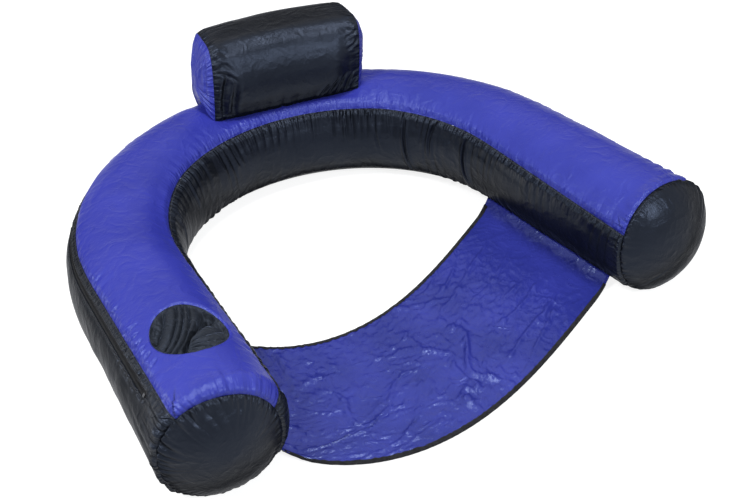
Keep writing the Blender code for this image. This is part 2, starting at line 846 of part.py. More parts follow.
def make_headrest():
    pivot = bpy.data.objects.new("headrest_pivot", None)
    pivot.parent = chair
    pivot.matrix_local = headrest_frame()
    parts.objects.link(pivot)
    wrap = put(wrap_mesh("headrest_wrap"), "headrest_wrap", nylon_black, pivot)
    thicken(wrap, COVER)
    for name, side in (("headrest_left_end", -1), ("headrest_right_end", 1)):
        thicken(put(end_mesh(name, side), name, nylon_blue, pivot), COVER)
    thicken(put(base_mesh("headrest_base"), "headrest_base", nylon_black, pivot), COVER)
    skin = COVER + LAYER_GAP
    bladder = put(headrest_ball("headrest_bladder", skin), "headrest_bladder", bladder_film, pivot)
    air = put_cutter(headrest_ball("headrest_air", skin + FILM), "headrest_air")
    air.matrix_local = headrest_frame()
    cut(bladder, air)
    return pivot, wrap, bladder


# Inflation valves
def valve_body_solids(prefix):
    """Flange under the film, neck through the cover, and the lug that carries the plug's strap."""
    film_under = -(COVER + LAYER_GAP + FILM + VALVE_SEAT_GAP)
    flange = cylinder_mesh(prefix + "_flange", VALVE_FLANGE_RADIUS, film_under - VALVE_FLANGE, film_under)
    neck = cylinder_mesh(prefix + "_neck", VALVE_NECK_RADIUS, film_under - VALVE_FLANGE / 2, VALVE_NECK)
    lug = box_mesh(prefix + "_lug", (0.0, -VALVE_LUG_WIDTH / 2, VALVE_NECK - VALVE_LUG_HEIGHT),
                   (VALVE_LUG_REACH, VALVE_LUG_WIDTH / 2, VALVE_NECK - FIT_GAP))
    bore = cylinder_mesh(prefix + "_bore", VALVE_BORE_RADIUS, -VALVE_NECK, 2 * VALVE_NECK)
    return flange, neck, lug, bore


def place_solid(made, local, matrix):
    made.matrix_local = matrix @ local
    return made


def make_valve(prefix, frame, parent, parent_frame, bladder, panel):
    """One valve. The frame has its Z outward at the skin, and its X towards the plug's strap."""
    local = parent_frame.inverted() @ frame
    flange, neck, lug, bore = valve_body_solids(prefix)
    body = put(flange, prefix + "_valve_body", valve_vinyl, parent)
    body.matrix_local = local
    additions = []
    for mesh in (neck, lug):
        additions.append(place_solid(put_cutter(mesh, mesh.name), Matrix.Identity(4), frame))
    join_solids(body, additions)
    cut(body, place_solid(put_cutter(bore, bore.name), Matrix.Identity(4), frame))

    opening = cylinder_mesh(prefix + "_opening", VALVE_NECK_RADIUS + LAYER_GAP, -VALVE_NECK, VALVE_NECK)
    opening_cutter = place_solid(put_cutter(opening, prefix + "_opening"), Matrix.Identity(4), frame)
    cut(bladder, opening_cutter)
    cut(panel, opening_cutter)

    hinge = bpy.data.objects.new(prefix + "_plug_pivot", None)
    hinge.parent = parent
    hinge_height = VALVE_NECK + FIT_GAP
    to_hinge = Matrix.Translation((VALVE_LUG_REACH, 0.0, hinge_height))
    hinge.matrix_local = local @ to_hinge
    parts.objects.link(hinge)
    cap = cylinder_mesh(prefix + "_cap", VALVE_CAP_RADIUS, hinge_height, hinge_height + VALVE_CAP)
    plug = put(cap, prefix + "_valve_plug", valve_vinyl, hinge)
    plug.matrix_local = to_hinge.inverted()
    stub_radius = VALVE_BORE_RADIUS - FIT_GAP
    stub = cylinder_mesh(prefix + "_stub", stub_radius - VALVE_STUB_TAPER, VALVE_NECK - VALVE_STUB,
                         hinge_height + VALVE_CAP / 2, stub_radius)
    strap = box_mesh(prefix + "_strap", (0.0, -VALVE_LUG_WIDTH / 2, hinge_height),
                     (VALVE_LUG_REACH, VALVE_LUG_WIDTH / 2, hinge_height + VALVE_CAP / 2))
    pieces = []
    for mesh in (stub, strap):
        pieces.append(place_solid(put_cutter(mesh, mesh.name), Matrix.Identity(4), frame))
    join_solids(plug, pieces)

    flap_hinge = bpy.data.objects.new(prefix + "_flap_pivot", None)
    flap_hinge.parent = parent
    flap_top = -(COVER + LAYER_GAP + FILM + VALVE_SEAT_GAP + VALVE_FLANGE + FIT_GAP)
    to_flap = Matrix.Translation((VALVE_FLAP_RADIUS, 0.0, flap_top))
    flap_hinge.matrix_local = local @ to_flap
    parts.objects.link(flap_hinge)
    disc = cylinder_mesh(prefix + "_disc", VALVE_FLAP_RADIUS, flap_top - VALVE_FLAP, flap_top)
    flap = put(disc, prefix + "_valve_flap", valve_vinyl, flap_hinge)
    flap.matrix_local = to_flap.inverted()
    return hinge, flap_hinge


def facet_frame(corners, along):
    """Frame at a facet's middle: Z is its outward normal and X is near the direction along."""
    middle = sum(corners, Vector()) / len(corners)
    outward = (corners[2] - corners[0]).cross(corners[3] - corners[1]).normalized()
    if outward.dot(corners[0] - middle + outward) < 0:
        outward.negate()
    first = (along - outward * along.dot(outward)).normalized()
    turn = Matrix((first, outward.cross(first), outward)).transposed().to_4x4()
    return Matrix.Translation(middle) @ turn


def main_valve_frame():
    half_column = (HALF_RUN + ZIPPER_REAR_RUN) / PLAIN_COLUMNS / 2
    corners = []
    for side, row in ((-1, 0), (1, 0), (1, 1), (-1, 1)):
        run = MAIN_VALVE_RUN + side * half_column
        corners.append(skin_point(run, ring_angles(run)[MAIN_VALVE_ROW + row]))
    _point, _normal, tangent = centre_line(MAIN_VALVE_RUN)
    return facet_frame(corners, tangent)


def headrest_valve_frame():
    around = 2 * HEADREST_HEIGHT + HEADREST_DEPTH
    middle_share = 1.0 - HEADREST_VALVE_UP * HEADREST_HEIGHT / around
    corners = []
    for side, down in ((-1, -1), (1, -1), (1, 1), (-1, 1)):
        across = HEADREST_WIDTH * (HEADREST_VALVE_ACROSS - 0.5 + side * 0.5 / HEADREST_COLUMNS)
        share = middle_share + down * 0.5 / HEADREST_ROUND
        corners.append(headrest_frame() @ crowned(across, *outline_point(share, 0.0), 0.0))
    return facet_frame(corners, headrest_frame().to_3x3() @ Vector((-1.0, 0.0, 0.0)))


# Sling seat
def seat_side(run):
    """Where the seat meets the lower inner seam of an arm."""
    place = skin_point(run, INNER_LOW_SEAM)
    _point, normal, _tangent = centre_line(run)
    turn = math.radians(INNER_LOW_SEAM)
    outward = normal * math.sin(turn) + Vector((0.0, 0.0, math.cos(turn)))
    return place + outward * SEAT_SIDE_GAP


def seat_folds(across, back):
    """Height of the seat's main folds. Back is 0 at the front edge and 1 at the rear edge."""
    inside = math.sin(math.pi * across)
    rear = inside * math.sin(math.pi * min(1.0, back * 0.9)) ** 2
    long_fold = math.sin(math.pi * (LONG_FOLDS * across + 1.3 * back)) ** 2
    cross_fold = math.sin(math.pi * (CROSS_FOLDS * back - 1.9 * across)) ** 2
    return FOLD_HEIGHT * (0.65 * rear * long_fold + 0.35 * inside * math.sin(math.pi * back) * cross_fold)


def seat_point(across, back):
    """A point of the seat: across is 0 at the -X arm, and back is 0 at the front edge."""
    run = SEAT_FRONT_RUN + (SEAT_REAR_RUN - SEAT_FRONT_RUN) * back
    bulge = SEAT_FRONT_BULGE + (SEAT_REAR_BULGE - SEAT_FRONT_BULGE) * back
    skew = math.log(0.5) / math.log(SEAT_PEAK)
    left, right = seat_side(-run), seat_side(run)
    place = left.lerp(right, across)
    place.y -= bulge * math.sin(math.pi * across ** skew)
    from_side = min(across, 1.0 - across) * (right.x - left.x)
    fall = max(0.0, 1.0 - from_side / SEAT_DROP) ** 2
    place.z = SEAT_FLOOR + (left.z - SEAT_FLOOR) * fall + seat_folds(across, back) * (1.0 - fall)
    return place


def seat_row_point(across, row):
    """A point on the faceted line of the seat's row: row 0 is the front edge."""
    place = across * SEAT_COLUMNS
    index = min(SEAT_COLUMNS - 1, max(0, int(place)))
    before = seat_point(index / SEAT_COLUMNS, row / SEAT_ROWS)
    after = seat_point((index + 1) / SEAT_COLUMNS, row / SEAT_ROWS)
    return before.lerp(after, place - index)


def make_binding(name, edge_row, inner_row):
    """Tape folded over a free edge of the seat: a leg above it, its fold and a leg beneath."""
    gap = SEAT_CLOTH / 2 + BINDING_GAP
    legs = [(BINDING_LEG, gap), (-BINDING_GAP, gap), (-BINDING_GAP, -gap), (BINDING_LEG, -gap)]
    if edge_row < inner_row:
        legs.reverse()
    trim = BINDING_SIDE_GAP / (seat_side(SEAT_FRONT_RUN).x - seat_side(-SEAT_FRONT_RUN).x)
    step = 0.5 / SEAT_COLUMNS

    def place(column, row):
        across = min(1.0 - trim, max(trim, column / SEAT_COLUMNS))
        edge = seat_row_point(across, edge_row)
        before = seat_row_point(max(0.0, across - step), edge_row)
        after = seat_row_point(min(1.0, across + step), edge_row)
        inward = (seat_row_point(across, inner_row) - edge).normalized()
        up = (after - before).cross(inward).normalized()
        if up.z < 0.0:
            up.negate()
        reach, lift = legs[row]
        return edge + inward * reach + up * lift

    binding = put(grid_mesh(name, SEAT_COLUMNS, 3, place), name, binding_black)
    thicken(binding, BINDING, 1.0)
    return binding


def make_seat():
    def place(column, row):
        return seat_point(column / SEAT_COLUMNS, row / SEAT_ROWS)

    sheet = put(grid_mesh("seat_sheet", SEAT_COLUMNS, SEAT_ROWS, place), "seat_sheet", nylon_blue)
    thicken(sheet, SEAT_CLOTH, 0.0)
    make_binding("seat_front_binding", 0, 1)
    make_binding("seat_rear_binding", SEAT_ROWS, SEAT_ROWS - 1)
    return sheet


def centre_chair():
    """Moves the chair so that the origin is under the middle of its box, on the floor."""
    bpy.context.view_layer.update()
    graph = bpy.context.evaluated_depsgraph_get()
    low, high = Vector((math.inf,) * 3), Vector((-math.inf,) * 3)
    for item in parts.objects:
        if item.type == "EMPTY":
            continue
        evaluated = item.evaluated_get(graph)
        mesh = evaluated.to_mesh()
        for vertex in mesh.vertices:
            place = item.matrix_world @ vertex.co
            low = Vector(map(min, low, place))
            high = Vector(map(max, high, place))
        evaluated.to_mesh_clear()
    chair.location = (-(low.x + high.x) / 2, -(low.y + high.y) / 2, -low.z)
    bpy.context.view_layer.update()


top_panel, inner_panel, outer_panel, bottom_panel = make_cover()
main_bladder = make_main_bladder()
make_cup_pouch(top_panel)
make_zipper()
headrest_pivot, headrest_wrap, headrest_bladder = make_headrest()
make_valve("main", main_valve_frame(), chair, Matrix.Identity(4), main_bladder, outer_panel)
make_valve("headrest", headrest_valve_frame(), headrest_pivot, headrest_frame(), headrest_bladder,
           headrest_wrap)
make_seat()
centre_chair()
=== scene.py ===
"""Looks of the inflatable pool chair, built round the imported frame.

Metres, +Z up. The chair faces -Y. A place on the tube is given by a run, which is the length along
its centre line from the middle of the back (negative on the -X arm, which carries the cup pouch and
the zipper), and an angle round its section from the top, in degrees (positive outside the U).
"""
import math

import bmesh
import bpy
import numpy as np
from mathutils import Matrix, Vector


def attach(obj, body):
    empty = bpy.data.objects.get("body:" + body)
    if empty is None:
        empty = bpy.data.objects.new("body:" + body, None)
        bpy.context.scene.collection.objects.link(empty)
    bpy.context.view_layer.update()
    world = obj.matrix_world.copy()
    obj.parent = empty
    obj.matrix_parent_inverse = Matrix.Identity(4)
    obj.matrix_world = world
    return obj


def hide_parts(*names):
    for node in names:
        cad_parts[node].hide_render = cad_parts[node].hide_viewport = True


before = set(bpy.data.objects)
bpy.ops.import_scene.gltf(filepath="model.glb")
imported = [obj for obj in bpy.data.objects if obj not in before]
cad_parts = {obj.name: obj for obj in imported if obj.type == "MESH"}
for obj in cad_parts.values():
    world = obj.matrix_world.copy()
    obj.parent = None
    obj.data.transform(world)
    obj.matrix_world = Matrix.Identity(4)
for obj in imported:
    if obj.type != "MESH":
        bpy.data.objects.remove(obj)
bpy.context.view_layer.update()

# The tube, its seams, cup pouch, headrest and seat, as the solids have them
TUBE_WIDTH = 0.200
TUBE_HEIGHT = 0.206
SECTION_POWER = 2.13
FLOOR_PRESS = 0.007
BACK_RADIUS = 0.404
ROUND_RUN = 0.543
EASE_RUN = 0.145
HALF_RUN = 0.990
CAP_DOME = 0.055
CAP_POWER = 1.6
BACK_Y = 0.387133
TRACE_STEP = 0.001
LINE_STRIDE = 5

INNER_TOP_SEAM = -49.0
OUTER_TOP_SEAM = 50.0
OUTER_LOW_SEAM = 140.0
INNER_LOW_SEAM = -136.0
ARM_ROLL = 14.6
TOP_GAIN = 3.4
ROLL_START = 0.300

ZIPPER_FRONT_RUN = 0.935
ZIPPER_REAR_RUN = 0.040
ZIPPER_DROP = 0.009
ZIPPER_BAND = 0.016

CUP_RUN = 0.864
CUP_OFFSET = -0.016
CUP_RADIUS = 0.060
CUP_BASE_RADIUS = 0.040
CUP_DEPTH = 0.100
CUP_SLOPE = (CUP_RADIUS - CUP_BASE_RADIUS) / CUP_DEPTH

HEADREST_RUN = 0.062
HEADREST_OFFSET = -0.0625
HEADREST_WIDTH = 0.306
HEADREST_DEPTH = 0.142
HEADREST_HEIGHT = 0.166
HEADREST_SIDE_LEAN = 0.085
HEADREST_BEND = 0.016
HEADREST_POWER = 5.0
HEADREST_CROWN = 0.002
HEADREST_END_BULGE = 0.0225
HEADREST_GAP = 0.0011
HEADREST_FOLD_HEIGHT = 0.170
HEADREST_FOLD_REACH = 0.018
HEADREST_LOW = 0.160

SEAT_FRONT_RUN = 0.948
SEAT_REAR_RUN = 0.605
SEAT_FRONT_BULGE = 0.152
SEAT_REAR_BULGE = 0.186
SEAT_PEAK = 0.34
SEAT_FLOOR = 0.0024
SEAT_DROP = 0.055
SEAT_SIDE_GAP = 0.0011

# Cloth
SKIN_STEP = 0.0022
FULL = 0.0034
SEAM_DIP = 0.0009
DEEPEST = 0.0011
SAME_PLACE = 0.00002

# The photograph's camera
IMAGE_WIDTH = 750
FOCAL_PIXELS = 1014.36
SENSOR = 36.0
CAMERA_PLACE = (-0.7271, -1.3843, 1.1235)
CAMERA_YAW = 29.527
CAMERA_PITCH = 35.121
CAMERA_ROLL = -3.610


# Seeded noise
def wave(x, seed):
    """Smooth noise along x from -1 to 1, with a knot at each whole number."""
    knots = np.random.default_rng(seed).uniform(-1.0, 1.0, 4096)
    x = np.asarray(x, float) + 2048.0
    low = np.floor(x)
    share = x - low
    share = share * share * (3.0 - 2.0 * share)
    index = low.astype(int) % 4096
    return knots[index] * (1.0 - share) + knots[(index + 1) % 4096] * share


def cloud(x, y, seed):
    """Smooth noise over a plane from -1 to 1, with a knot at each pair of whole numbers."""
    size = 128
    knots = np.random.default_rng(seed).uniform(-1.0, 1.0, (size, size))
    x, y = np.broadcast_arrays(np.asarray(x, float), np.asarray(y, float))
    low_x, low_y = np.floor(x), np.floor(y)
    share_x, share_y = x - low_x, y - low_y
    share_x = share_x * share_x * (3.0 - 2.0 * share_x)
    share_y = share_y * share_y * (3.0 - 2.0 * share_y)
    i, j = low_x.astype(int) % size, low_y.astype(int) % size
    i2, j2 = (i + 1) % size, (j + 1) % size
    near = knots[i, j] * (1.0 - share_x) + knots[i2, j] * share_x
    far = knots[i, j2] * (1.0 - share_x) + knots[i2, j2] * share_x
    return near * (1.0 - share_y) + far * share_y


def bell(x, width):
    return np.exp(-(x / width) ** 2)


def rise(x, start, end):
    """Smooth step from 0 at start to 1 at end."""
    share = np.clip((x - start) / (end - start), 0.0, 1.0)
    return share * share * (3.0 - 2.0 * share)


def gathers(along, away, spacing, reach, height, seed, sharp=0.8):
    """Puckers square to a seam: along it, away from it, their spacing, reach and height."""
    slant = 0.25 * wave(along / (5 * spacing), seed + 7)
    along = along + slant * away
    phase = along / spacing + 0.6 * wave(along / (2.6 * spacing), seed)
    ridge = np.abs(np.sin(math.pi * phase)) ** sharp - 0.62
    strength = np.clip(0.65 + 0.6 * wave(along / (1.7 * spacing), seed + 1), 0.05, 1.3)
    length = reach * np.clip(0.75 + 0.55 * wave(along / (1.4 * spacing), seed + 2), 0.2, 1.4)
    return height * strength * ridge * np.exp(-np.abs(away / length) ** 1.4) * rise(away, 0.0, 0.003)


def puckers(along, away, *sizes):
    """Gathers of several sizes at one seam. A size is a spacing, a reach, a height and a seed."""
    return sum(gathers(along, away, *size) for size in sizes)


def kept_out(relief):
    """Keeps the deepest folds of a skin just clear of the bladder beneath it."""
    start = -0.4 * DEEPEST
    low = start - (DEEPEST + start) * (1.0 - np.exp(np.minimum(0.0, relief - start) / (DEEPEST + start)))
    return np.where(relief < start, low, relief)


def crease(x, y, start, end, depth, width, bend=0.0):
    """A fold line on a plane from start to end, deepest in its middle, with a roll at each side."""
    start, end = np.array(start), np.array(end)
    line = end - start
    length = np.hypot(*line)
    line = line / length
    dx, dy = x - start[0], y - start[1]
    along = (dx * line[0] + dy * line[1]) / length
    off = dx * line[1] - dy * line[0]
    off = off + bend * np.sin(np.pi * np.clip(along, 0.0, 1.0))
    inside = rise(along, -0.12, 0.25) * (1.0 - rise(along, 0.75, 1.12))
    rolls = bell(off - 1.7 * width, 1.3 * width) + bell(off + 1.7 * width, 1.3 * width)
    return depth * inside * (0.55 * rolls - bell(off, width))


# Meshes
def place_object(name, data):
    made = bpy.data.objects.new(name, data)
    bpy.context.scene.collection.objects.link(made)
    return made


def grid_faces(rows, columns, wrap=False):
    index = np.arange(rows * columns).reshape(rows, columns)
    if wrap:
        index = np.hstack([index, index[:, :1]])
    return np.stack([index[:-1, :-1], index[1:, :-1], index[1:, 1:], index[:-1, 1:]], -1).reshape(-1, 4)


def put_mesh(name, points, faces, material, seam=None):
    """A mesh of faces over points. The seam map holds metres along the nearest seam and away from it."""
    mesh = bpy.data.meshes.new(name)
    mesh.from_pydata(points.reshape(-1, 3).tolist(), [], faces.tolist())
    if seam is not None:
        corners = np.empty(len(mesh.loops), int)
        mesh.loops.foreach_get("vertex_index", corners)
        layer = mesh.uv_layers.new(name="seam")
        layer.data.foreach_set("uv", seam.reshape(-1, 2)[corners].ravel())
    form = bmesh.new()
    form.from_mesh(mesh)
    bmesh.ops.remove_doubles(form, verts=form.verts, dist=SAME_PLACE)
    bmesh.ops.recalc_face_normals(form, faces=form.faces)
    form.to_mesh(mesh)
    form.free()
    mesh.shade_smooth()
    mesh.materials.append(material)
    return place_object(name, mesh)


def put_grid(name, points, material, wrap=False, seam=None):
    return put_mesh(name, points, grid_faces(*points.shape[:2], wrap), material, seam)


def dress(piece, body, slot, *nodes):
    """The piece rides on a body and stands for CAD nodes, which it hides. The slot is not used."""
    if nodes:
        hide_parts(*nodes)
    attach(piece, body)
    return piece


def unit(vectors):
    return vectors / np.maximum(np.linalg.norm(vectors, axis=-1, keepdims=True), 1e-12)


def dot(first, second):
    return np.sum(first * second, -1, keepdims=True)


def grid_normals(points, wrap=False):
    """Unit normals of a grid of points."""
    across = np.gradient(points, axis=1)
    if wrap:
        across = np.roll(points, -1, axis=1) - np.roll(points, 1, axis=1)
    return unit(np.cross(np.gradient(points, axis=0), across))


# The centre line and the skin of the tube
def trace_centre_line():
    runs = np.arange(0.0, HALF_RUN + CAP_DOME + 3 * TRACE_STEP, TRACE_STEP)
    share = np.clip((runs - ROUND_RUN) / EASE_RUN, 0.0, 1.0)
    turn = (1.0 - share * share * (3.0 - 2.0 * share)) / BACK_RADIUS
    heading = np.concatenate([[0.0], np.cumsum((turn[1:] + turn[:-1]) / 2 * TRACE_STEP)])
    east, south = np.cos(heading), np.sin(heading)
    x = np.concatenate([[0.0], np.cumsum((east[1:] + east[:-1]) / 2 * TRACE_STEP)])
    y = np.concatenate([[0.0], np.cumsum((south[1:] + south[:-1]) / 2 * TRACE_STEP)])
    return runs, x, -y, heading


LINE_RUNS, LINE_X, LINE_Y, LINE_HEADING = trace_centre_line()


def centre_line(run):
    """Points, outward normals and tangents at runs."""
    run = np.asarray(run, float)
    side = np.where(run < 0, -1.0, 1.0)
    x = np.interp(np.abs(run), LINE_RUNS, LINE_X) * side
    y = np.interp(np.abs(run), LINE_RUNS, LINE_Y) + BACK_Y
    heading = np.interp(np.abs(run), LINE_RUNS, LINE_HEADING)
    zero = np.zeros_like(x)
    point = np.stack([x, y, zero], -1)
    normal = np.stack([side * np.sin(heading), np.cos(heading), zero], -1)
    tangent = np.stack([np.cos(heading), -side * np.sin(heading), zero], -1)
    return point, normal, tangent


def skin_point(run, angle, shrink=1.0):
    turn = np.radians(angle)
    across = np.abs(np.sin(turn)) / (TUBE_WIDTH / 2)
    up = np.abs(np.cos(turn)) / (TUBE_HEIGHT / 2)
    reach = (across ** SECTION_POWER + up ** SECTION_POWER) ** (-1.0 / SECTION_POWER) * shrink
    point, normal, _tangent = centre_line(run)
    place = point + normal * (reach * np.sin(turn))[..., None]
    place[..., 2] = np.maximum(0.0, TUBE_HEIGHT / 2 - FLOOR_PRESS + reach * np.cos(turn))
    return place


def skin_normal(run, angle):
    """Outward normals of the tube's skin."""
    before, after = skin_point(run, angle - 0.5), skin_point(run, angle + 0.5)
    centre, _normal, tangent = centre_line(run)
    outward = unit(np.cross(after - before, tangent))
    sign = np.sign(dot(outward, before - centre - [0.0, 0.0, TUBE_HEIGHT / 2]))
    return outward * np.where(sign == 0, 1.0, sign)


def over_tube(x, y):
    """Height of the tube's top over plan points."""
    x, y = np.asarray(x, float), np.asarray(y, float)
    shape = x.shape
    flat_x, flat_y = np.abs(x.ravel()), y.ravel() - BACK_Y
    line_x, line_y = LINE_X[::LINE_STRIDE], LINE_Y[::LINE_STRIDE]
    away = np.hypot(flat_x[:, None] - line_x, flat_y[:, None] - line_y)
    share = np.minimum(1.0, away.min(axis=1) / (TUBE_WIDTH / 2)).reshape(shape)
    lift = TUBE_HEIGHT / 2 * (1.0 - share ** SECTION_POWER) ** (1.0 / SECTION_POWER)
    return TUBE_HEIGHT / 2 - FLOOR_PRESS + lift


def degrees_along_skin(length):
    return np.degrees(length / (TUBE_WIDTH / 2))


def roll_share(run):
    return np.clip((np.abs(run) - ROLL_START) / (HALF_RUN - ROLL_START), 0.0, 1.0)


def inner_top(run):
    return INNER_TOP_SEAM - (ARM_ROLL + TOP_GAIN) * roll_share(run)


def outer_top(run):
    return OUTER_TOP_SEAM - (ARM_ROLL - TOP_GAIN) * roll_share(run)


def even_runs(start, end, step=SKIN_STEP):
    return np.linspace(start, end, round((end - start) / step) + 1)


def seam_shares(length, step=SKIN_STEP):
    """Shares from 0 to 1 across a panel, closer together near its two seams."""
    count = max(6, round(length / step))
    share = np.linspace(0.0, 1.0, count)
    return share - 0.075 * np.sin(2 * math.pi * share)


# Cloth, film and metal
def set_sockets(tree, node, sockets):
    """Gives each socket of a node a value, or links it to another node's output."""
    for name, value in sockets.items():
        if isinstance(value, bpy.types.NodeSocket):
            tree.links.new(value, node.inputs[name])
        else:
            node.inputs[name].default_value = value


def add_node(tree, kind, sockets, **settings):
    node = tree.nodes.new("ShaderNode" + kind)
    for name, value in settings.items():
        setattr(node, name, value)
    set_sockets(tree, node, sockets)
    return node


def combine(tree, operation, first, second=0.0):
    return add_node(tree, "Math", {0: first, 1: second}, operation=operation).outputs[0]


def ramp(tree, value, low, high, start=0.0, end=1.0, shape="LINEAR"):
    """Goes from start to end while the value goes from low to high."""
    sockets = {"Value": value, "From Min": low, "From Max": high, "To Min": start, "To Max": end}
    return add_node(tree, "MapRange", sockets, interpolation_type=shape).outputs["Result"]


def noise(tree, scale, detail, where, stretch=(1.0, 1.0, 1.0)):
    mapped = add_node(tree, "Mapping", {"Vector": where, "Scale": stretch}).outputs["Vector"]
    return add_node(tree, "TexNoise", {"Vector": mapped, "Scale": scale, "Detail": detail}).outputs["Fac"]


def ridges(tree, scale, where):
    """Noise with sharp crests, as crumpled cloth has."""
    crests = noise(tree, scale, 2.0, where)
    crests.node.noise_type = "RIDGED_MULTIFRACTAL"
    set_sockets(tree, crests.node, {"Offset": 1.0, "Gain": 1.4, "Distortion": 0.5})
    return crests


def seam_puckers(tree):
    """Fine puckers square to the nearest seam, which fade away from it."""
    place = add_node(tree, "UVMap", {}, uv_map="seam").outputs["UV"]
    fine = noise(tree, 1.0, 2.0, place, (170.0, 42.0, 1.0))
    wide = noise(tree, 1.0, 1.0, place, (62.0, 24.0, 1.0))
    away = add_node(tree, "SeparateXYZ", {"Vector": place}).outputs["Y"]
    fade = ramp(tree, away, 0.0, PUCKER_REACH, 1.0, 0.0, "SMOOTHSTEP")
    return combine(tree, "MULTIPLY", combine(tree, "ADD", fine, wide), fade)


def bump(tree, height, strength, distance, below=None):
    sockets = {"Height": height, "Strength": strength, "Distance": distance}
    if below:
        sockets["Normal"] = below
    return add_node(tree, "Bump", sockets).outputs["Normal"]


def weave(tree, where, pitch):
    """Plain weave: threads crossing at the pitch, seen on all three planes."""
    split = add_node(tree, "SeparateXYZ", {"Vector": where})
    total = 0.0
    for axis in ("X", "Y", "Z"):
        turn = combine(tree, "MULTIPLY", split.outputs[axis], math.tau / pitch)
        total = combine(tree, "ADD", total, combine(tree, "SINE", turn))
    return total


def gloss_by_slant(tree, gloss):
    """Gloss level that falls off at a slant, where rough threads hide each other."""
    slant = add_node(tree, "LayerWeight", {"Blend": 0.5}).outputs["Facing"]
    return ramp(tree, slant, 0.22, 0.62, gloss, gloss * GRAZING_SHARE, "SMOOTHSTEP")


def new_material(name):
    material = bpy.data.materials.new(name)
    material.use_nodes = True
    tree = material.node_tree
    return material, tree, tree.nodes["Principled BSDF"]


def mottled(name, colour, pale, scale, detail, low):
    """A material whose colour drifts between two tones, with its tree, shader and coordinates."""
    material, tree, shader = new_material(name)
    where = add_node(tree, "TexCoord", {}).outputs["Object"]
    tone = ramp(tree, noise(tree, scale, detail, where), low, 0.7)
    mixed = add_node(tree, "Mix", {"Factor": tone, "A": (*colour, 1.0), "B": (*pale, 1.0)}, data_type="RGBA")
    tree.links.new(mixed.outputs["Result"], shader.inputs["Base Color"])
    return material, tree, shader, where


def nylon(name, colour, pale, roughness, sheen, gloss, crinkle, pucker):
    """Coated nylon taffeta: fine weave, small crinkles and a soft sheen."""
    material, tree, shader, where = mottled(name, colour, pale, 9.0, 5.0, 0.35)
    puckered = bump(tree, seam_puckers(tree), 0.9, pucker)
    soft = bump(tree, ridges(tree, 34.0, where), 0.8, crinkle, puckered)
    crumpled = bump(tree, ridges(tree, 105.0, where), 0.6, crinkle * 0.30, soft)
    set_sockets(tree, shader, {
        "Roughness": ramp(tree, noise(tree, 26.0, 4.0, where), 0.3, 0.75, roughness - 0.05, roughness + 0.07),
        "Normal": bump(tree, weave(tree, where, THREAD_PITCH), 0.3, 0.00005, crumpled),
        "Sheen Weight": sheen,
        "Sheen Roughness": 0.35,
        "Sheen Tint": (*PALE_BLUE, 1.0),
        "Specular IOR Level": gloss_by_slant(tree, gloss),
        "Specular Tint": (*PALE_BLUE, 1.0),
    })
    return material


def woven_tape(name, colour, pale, pitch):
    """Matt woven tape or binding."""
    material, tree, shader, where = mottled(name, colour, pale, 120.0, 3.0, 0.3)
    normal = bump(tree, weave(tree, where, pitch), 0.5, 0.00012)
    matt = {"Roughness": 0.72, "Specular IOR Level": 0.10, "Sheen Weight": 0.05, "Normal": normal}
    set_sockets(tree, shader, matt)
    return material


def smooth_stuff(name, colour, pale, roughness, metallic, grain, grain_height, specular=0.5):
    """Film, moulded vinyl, nylon coil or metal, with its own grain."""
    material, tree, shader, where = mottled(name, colour, pale, grain / 4, 4.0, 0.3)
    normal = bump(tree, noise(tree, grain, 3.0, where), 0.5, grain_height)
    own = {"Roughness": roughness, "Metallic": metallic, "Specular IOR Level": specular, "Normal": normal}
    set_sockets(tree, shader, own)
    return material


PUCKER_REACH = 0.030
GRAZING_SHARE = 0.05
THREAD_PITCH = 0.0011
PALE_BLUE = (0.56, 0.69, 1.0)
# Colour, paler tone, roughness, sheen, gloss, crinkle and pucker
BLUE = nylon("nylon_blue_cloth", (0.023, 0.028, 0.255), (0.031, 0.037, 0.305), 0.32, 0.05, 0.40,
             0.0007, 0.0032)
SEAT_BLUE = nylon("seat_blue_cloth", (0.018, 0.024, 0.19), (0.029, 0.036, 0.27), 0.23, 0.04, 0.50,
                  0.0010, 0.0)
BLACK = nylon("nylon_black_cloth", (0.0028, 0.0034, 0.0052), (0.0060, 0.0072, 0.0108), 0.33, 0.04, 0.27,
              0.0005, 0.0046)
POUCH_BLACK = nylon("pouch_black_cloth", (0.011, 0.013, 0.017), (0.020, 0.023, 0.029), 0.50, 0.15, 0.22,
                    0.0018, 0.0)
BINDING = woven_tape("binding_cloth", (0.008, 0.008, 0.010), (0.020, 0.020, 0.023), 0.0009)
TAPE = woven_tape("zipper_tape_cloth", (0.010, 0.010, 0.012), (0.020, 0.020, 0.023), 0.0007)
THREAD = woven_tape("sewing_thread", (0.040, 0.042, 0.048), (0.090, 0.093, 0.104), 0.0005)
COIL = smooth_stuff("zipper_coil_nylon", (0.012, 0.012, 0.013), (0.02, 0.02, 0.022), 0.60, 0.0, 300.0,
                    0.00003, 0.12)
METAL = smooth_stuff("slider_dark_metal", (0.022, 0.022, 0.025), (0.045, 0.045, 0.050), 0.45, 0.5, 400.0,
                     0.00002, 0.3)
FILM = smooth_stuff("bladder_grey_film", (0.50, 0.53, 0.57), (0.60, 0.63, 0.67), 0.30, 0.0, 60.0, 0.0003)
VINYL = smooth_stuff("valve_white_vinyl", (0.68, 0.69, 0.70), (0.76, 0.77, 0.78), 0.34, 0.0, 200.0, 0.00005)


# Panels of the tube
CUP_POINT = centre_line(-CUP_RUN)[0] + centre_line(-CUP_RUN)[1] * CUP_OFFSET


def under_headrest(run):
    """1 beneath the headrest, where the cover lies flat, and 0 elsewhere."""
    return 1.0 - rise(np.abs(run - HEADREST_RUN), 0.155, 0.185)


def fullness(low, high):
    """How far cloth stands out between two seams, at distances low and high from them."""
    edge = np.minimum(low, high)
    return FULL * rise(edge, 0.0, 0.014)


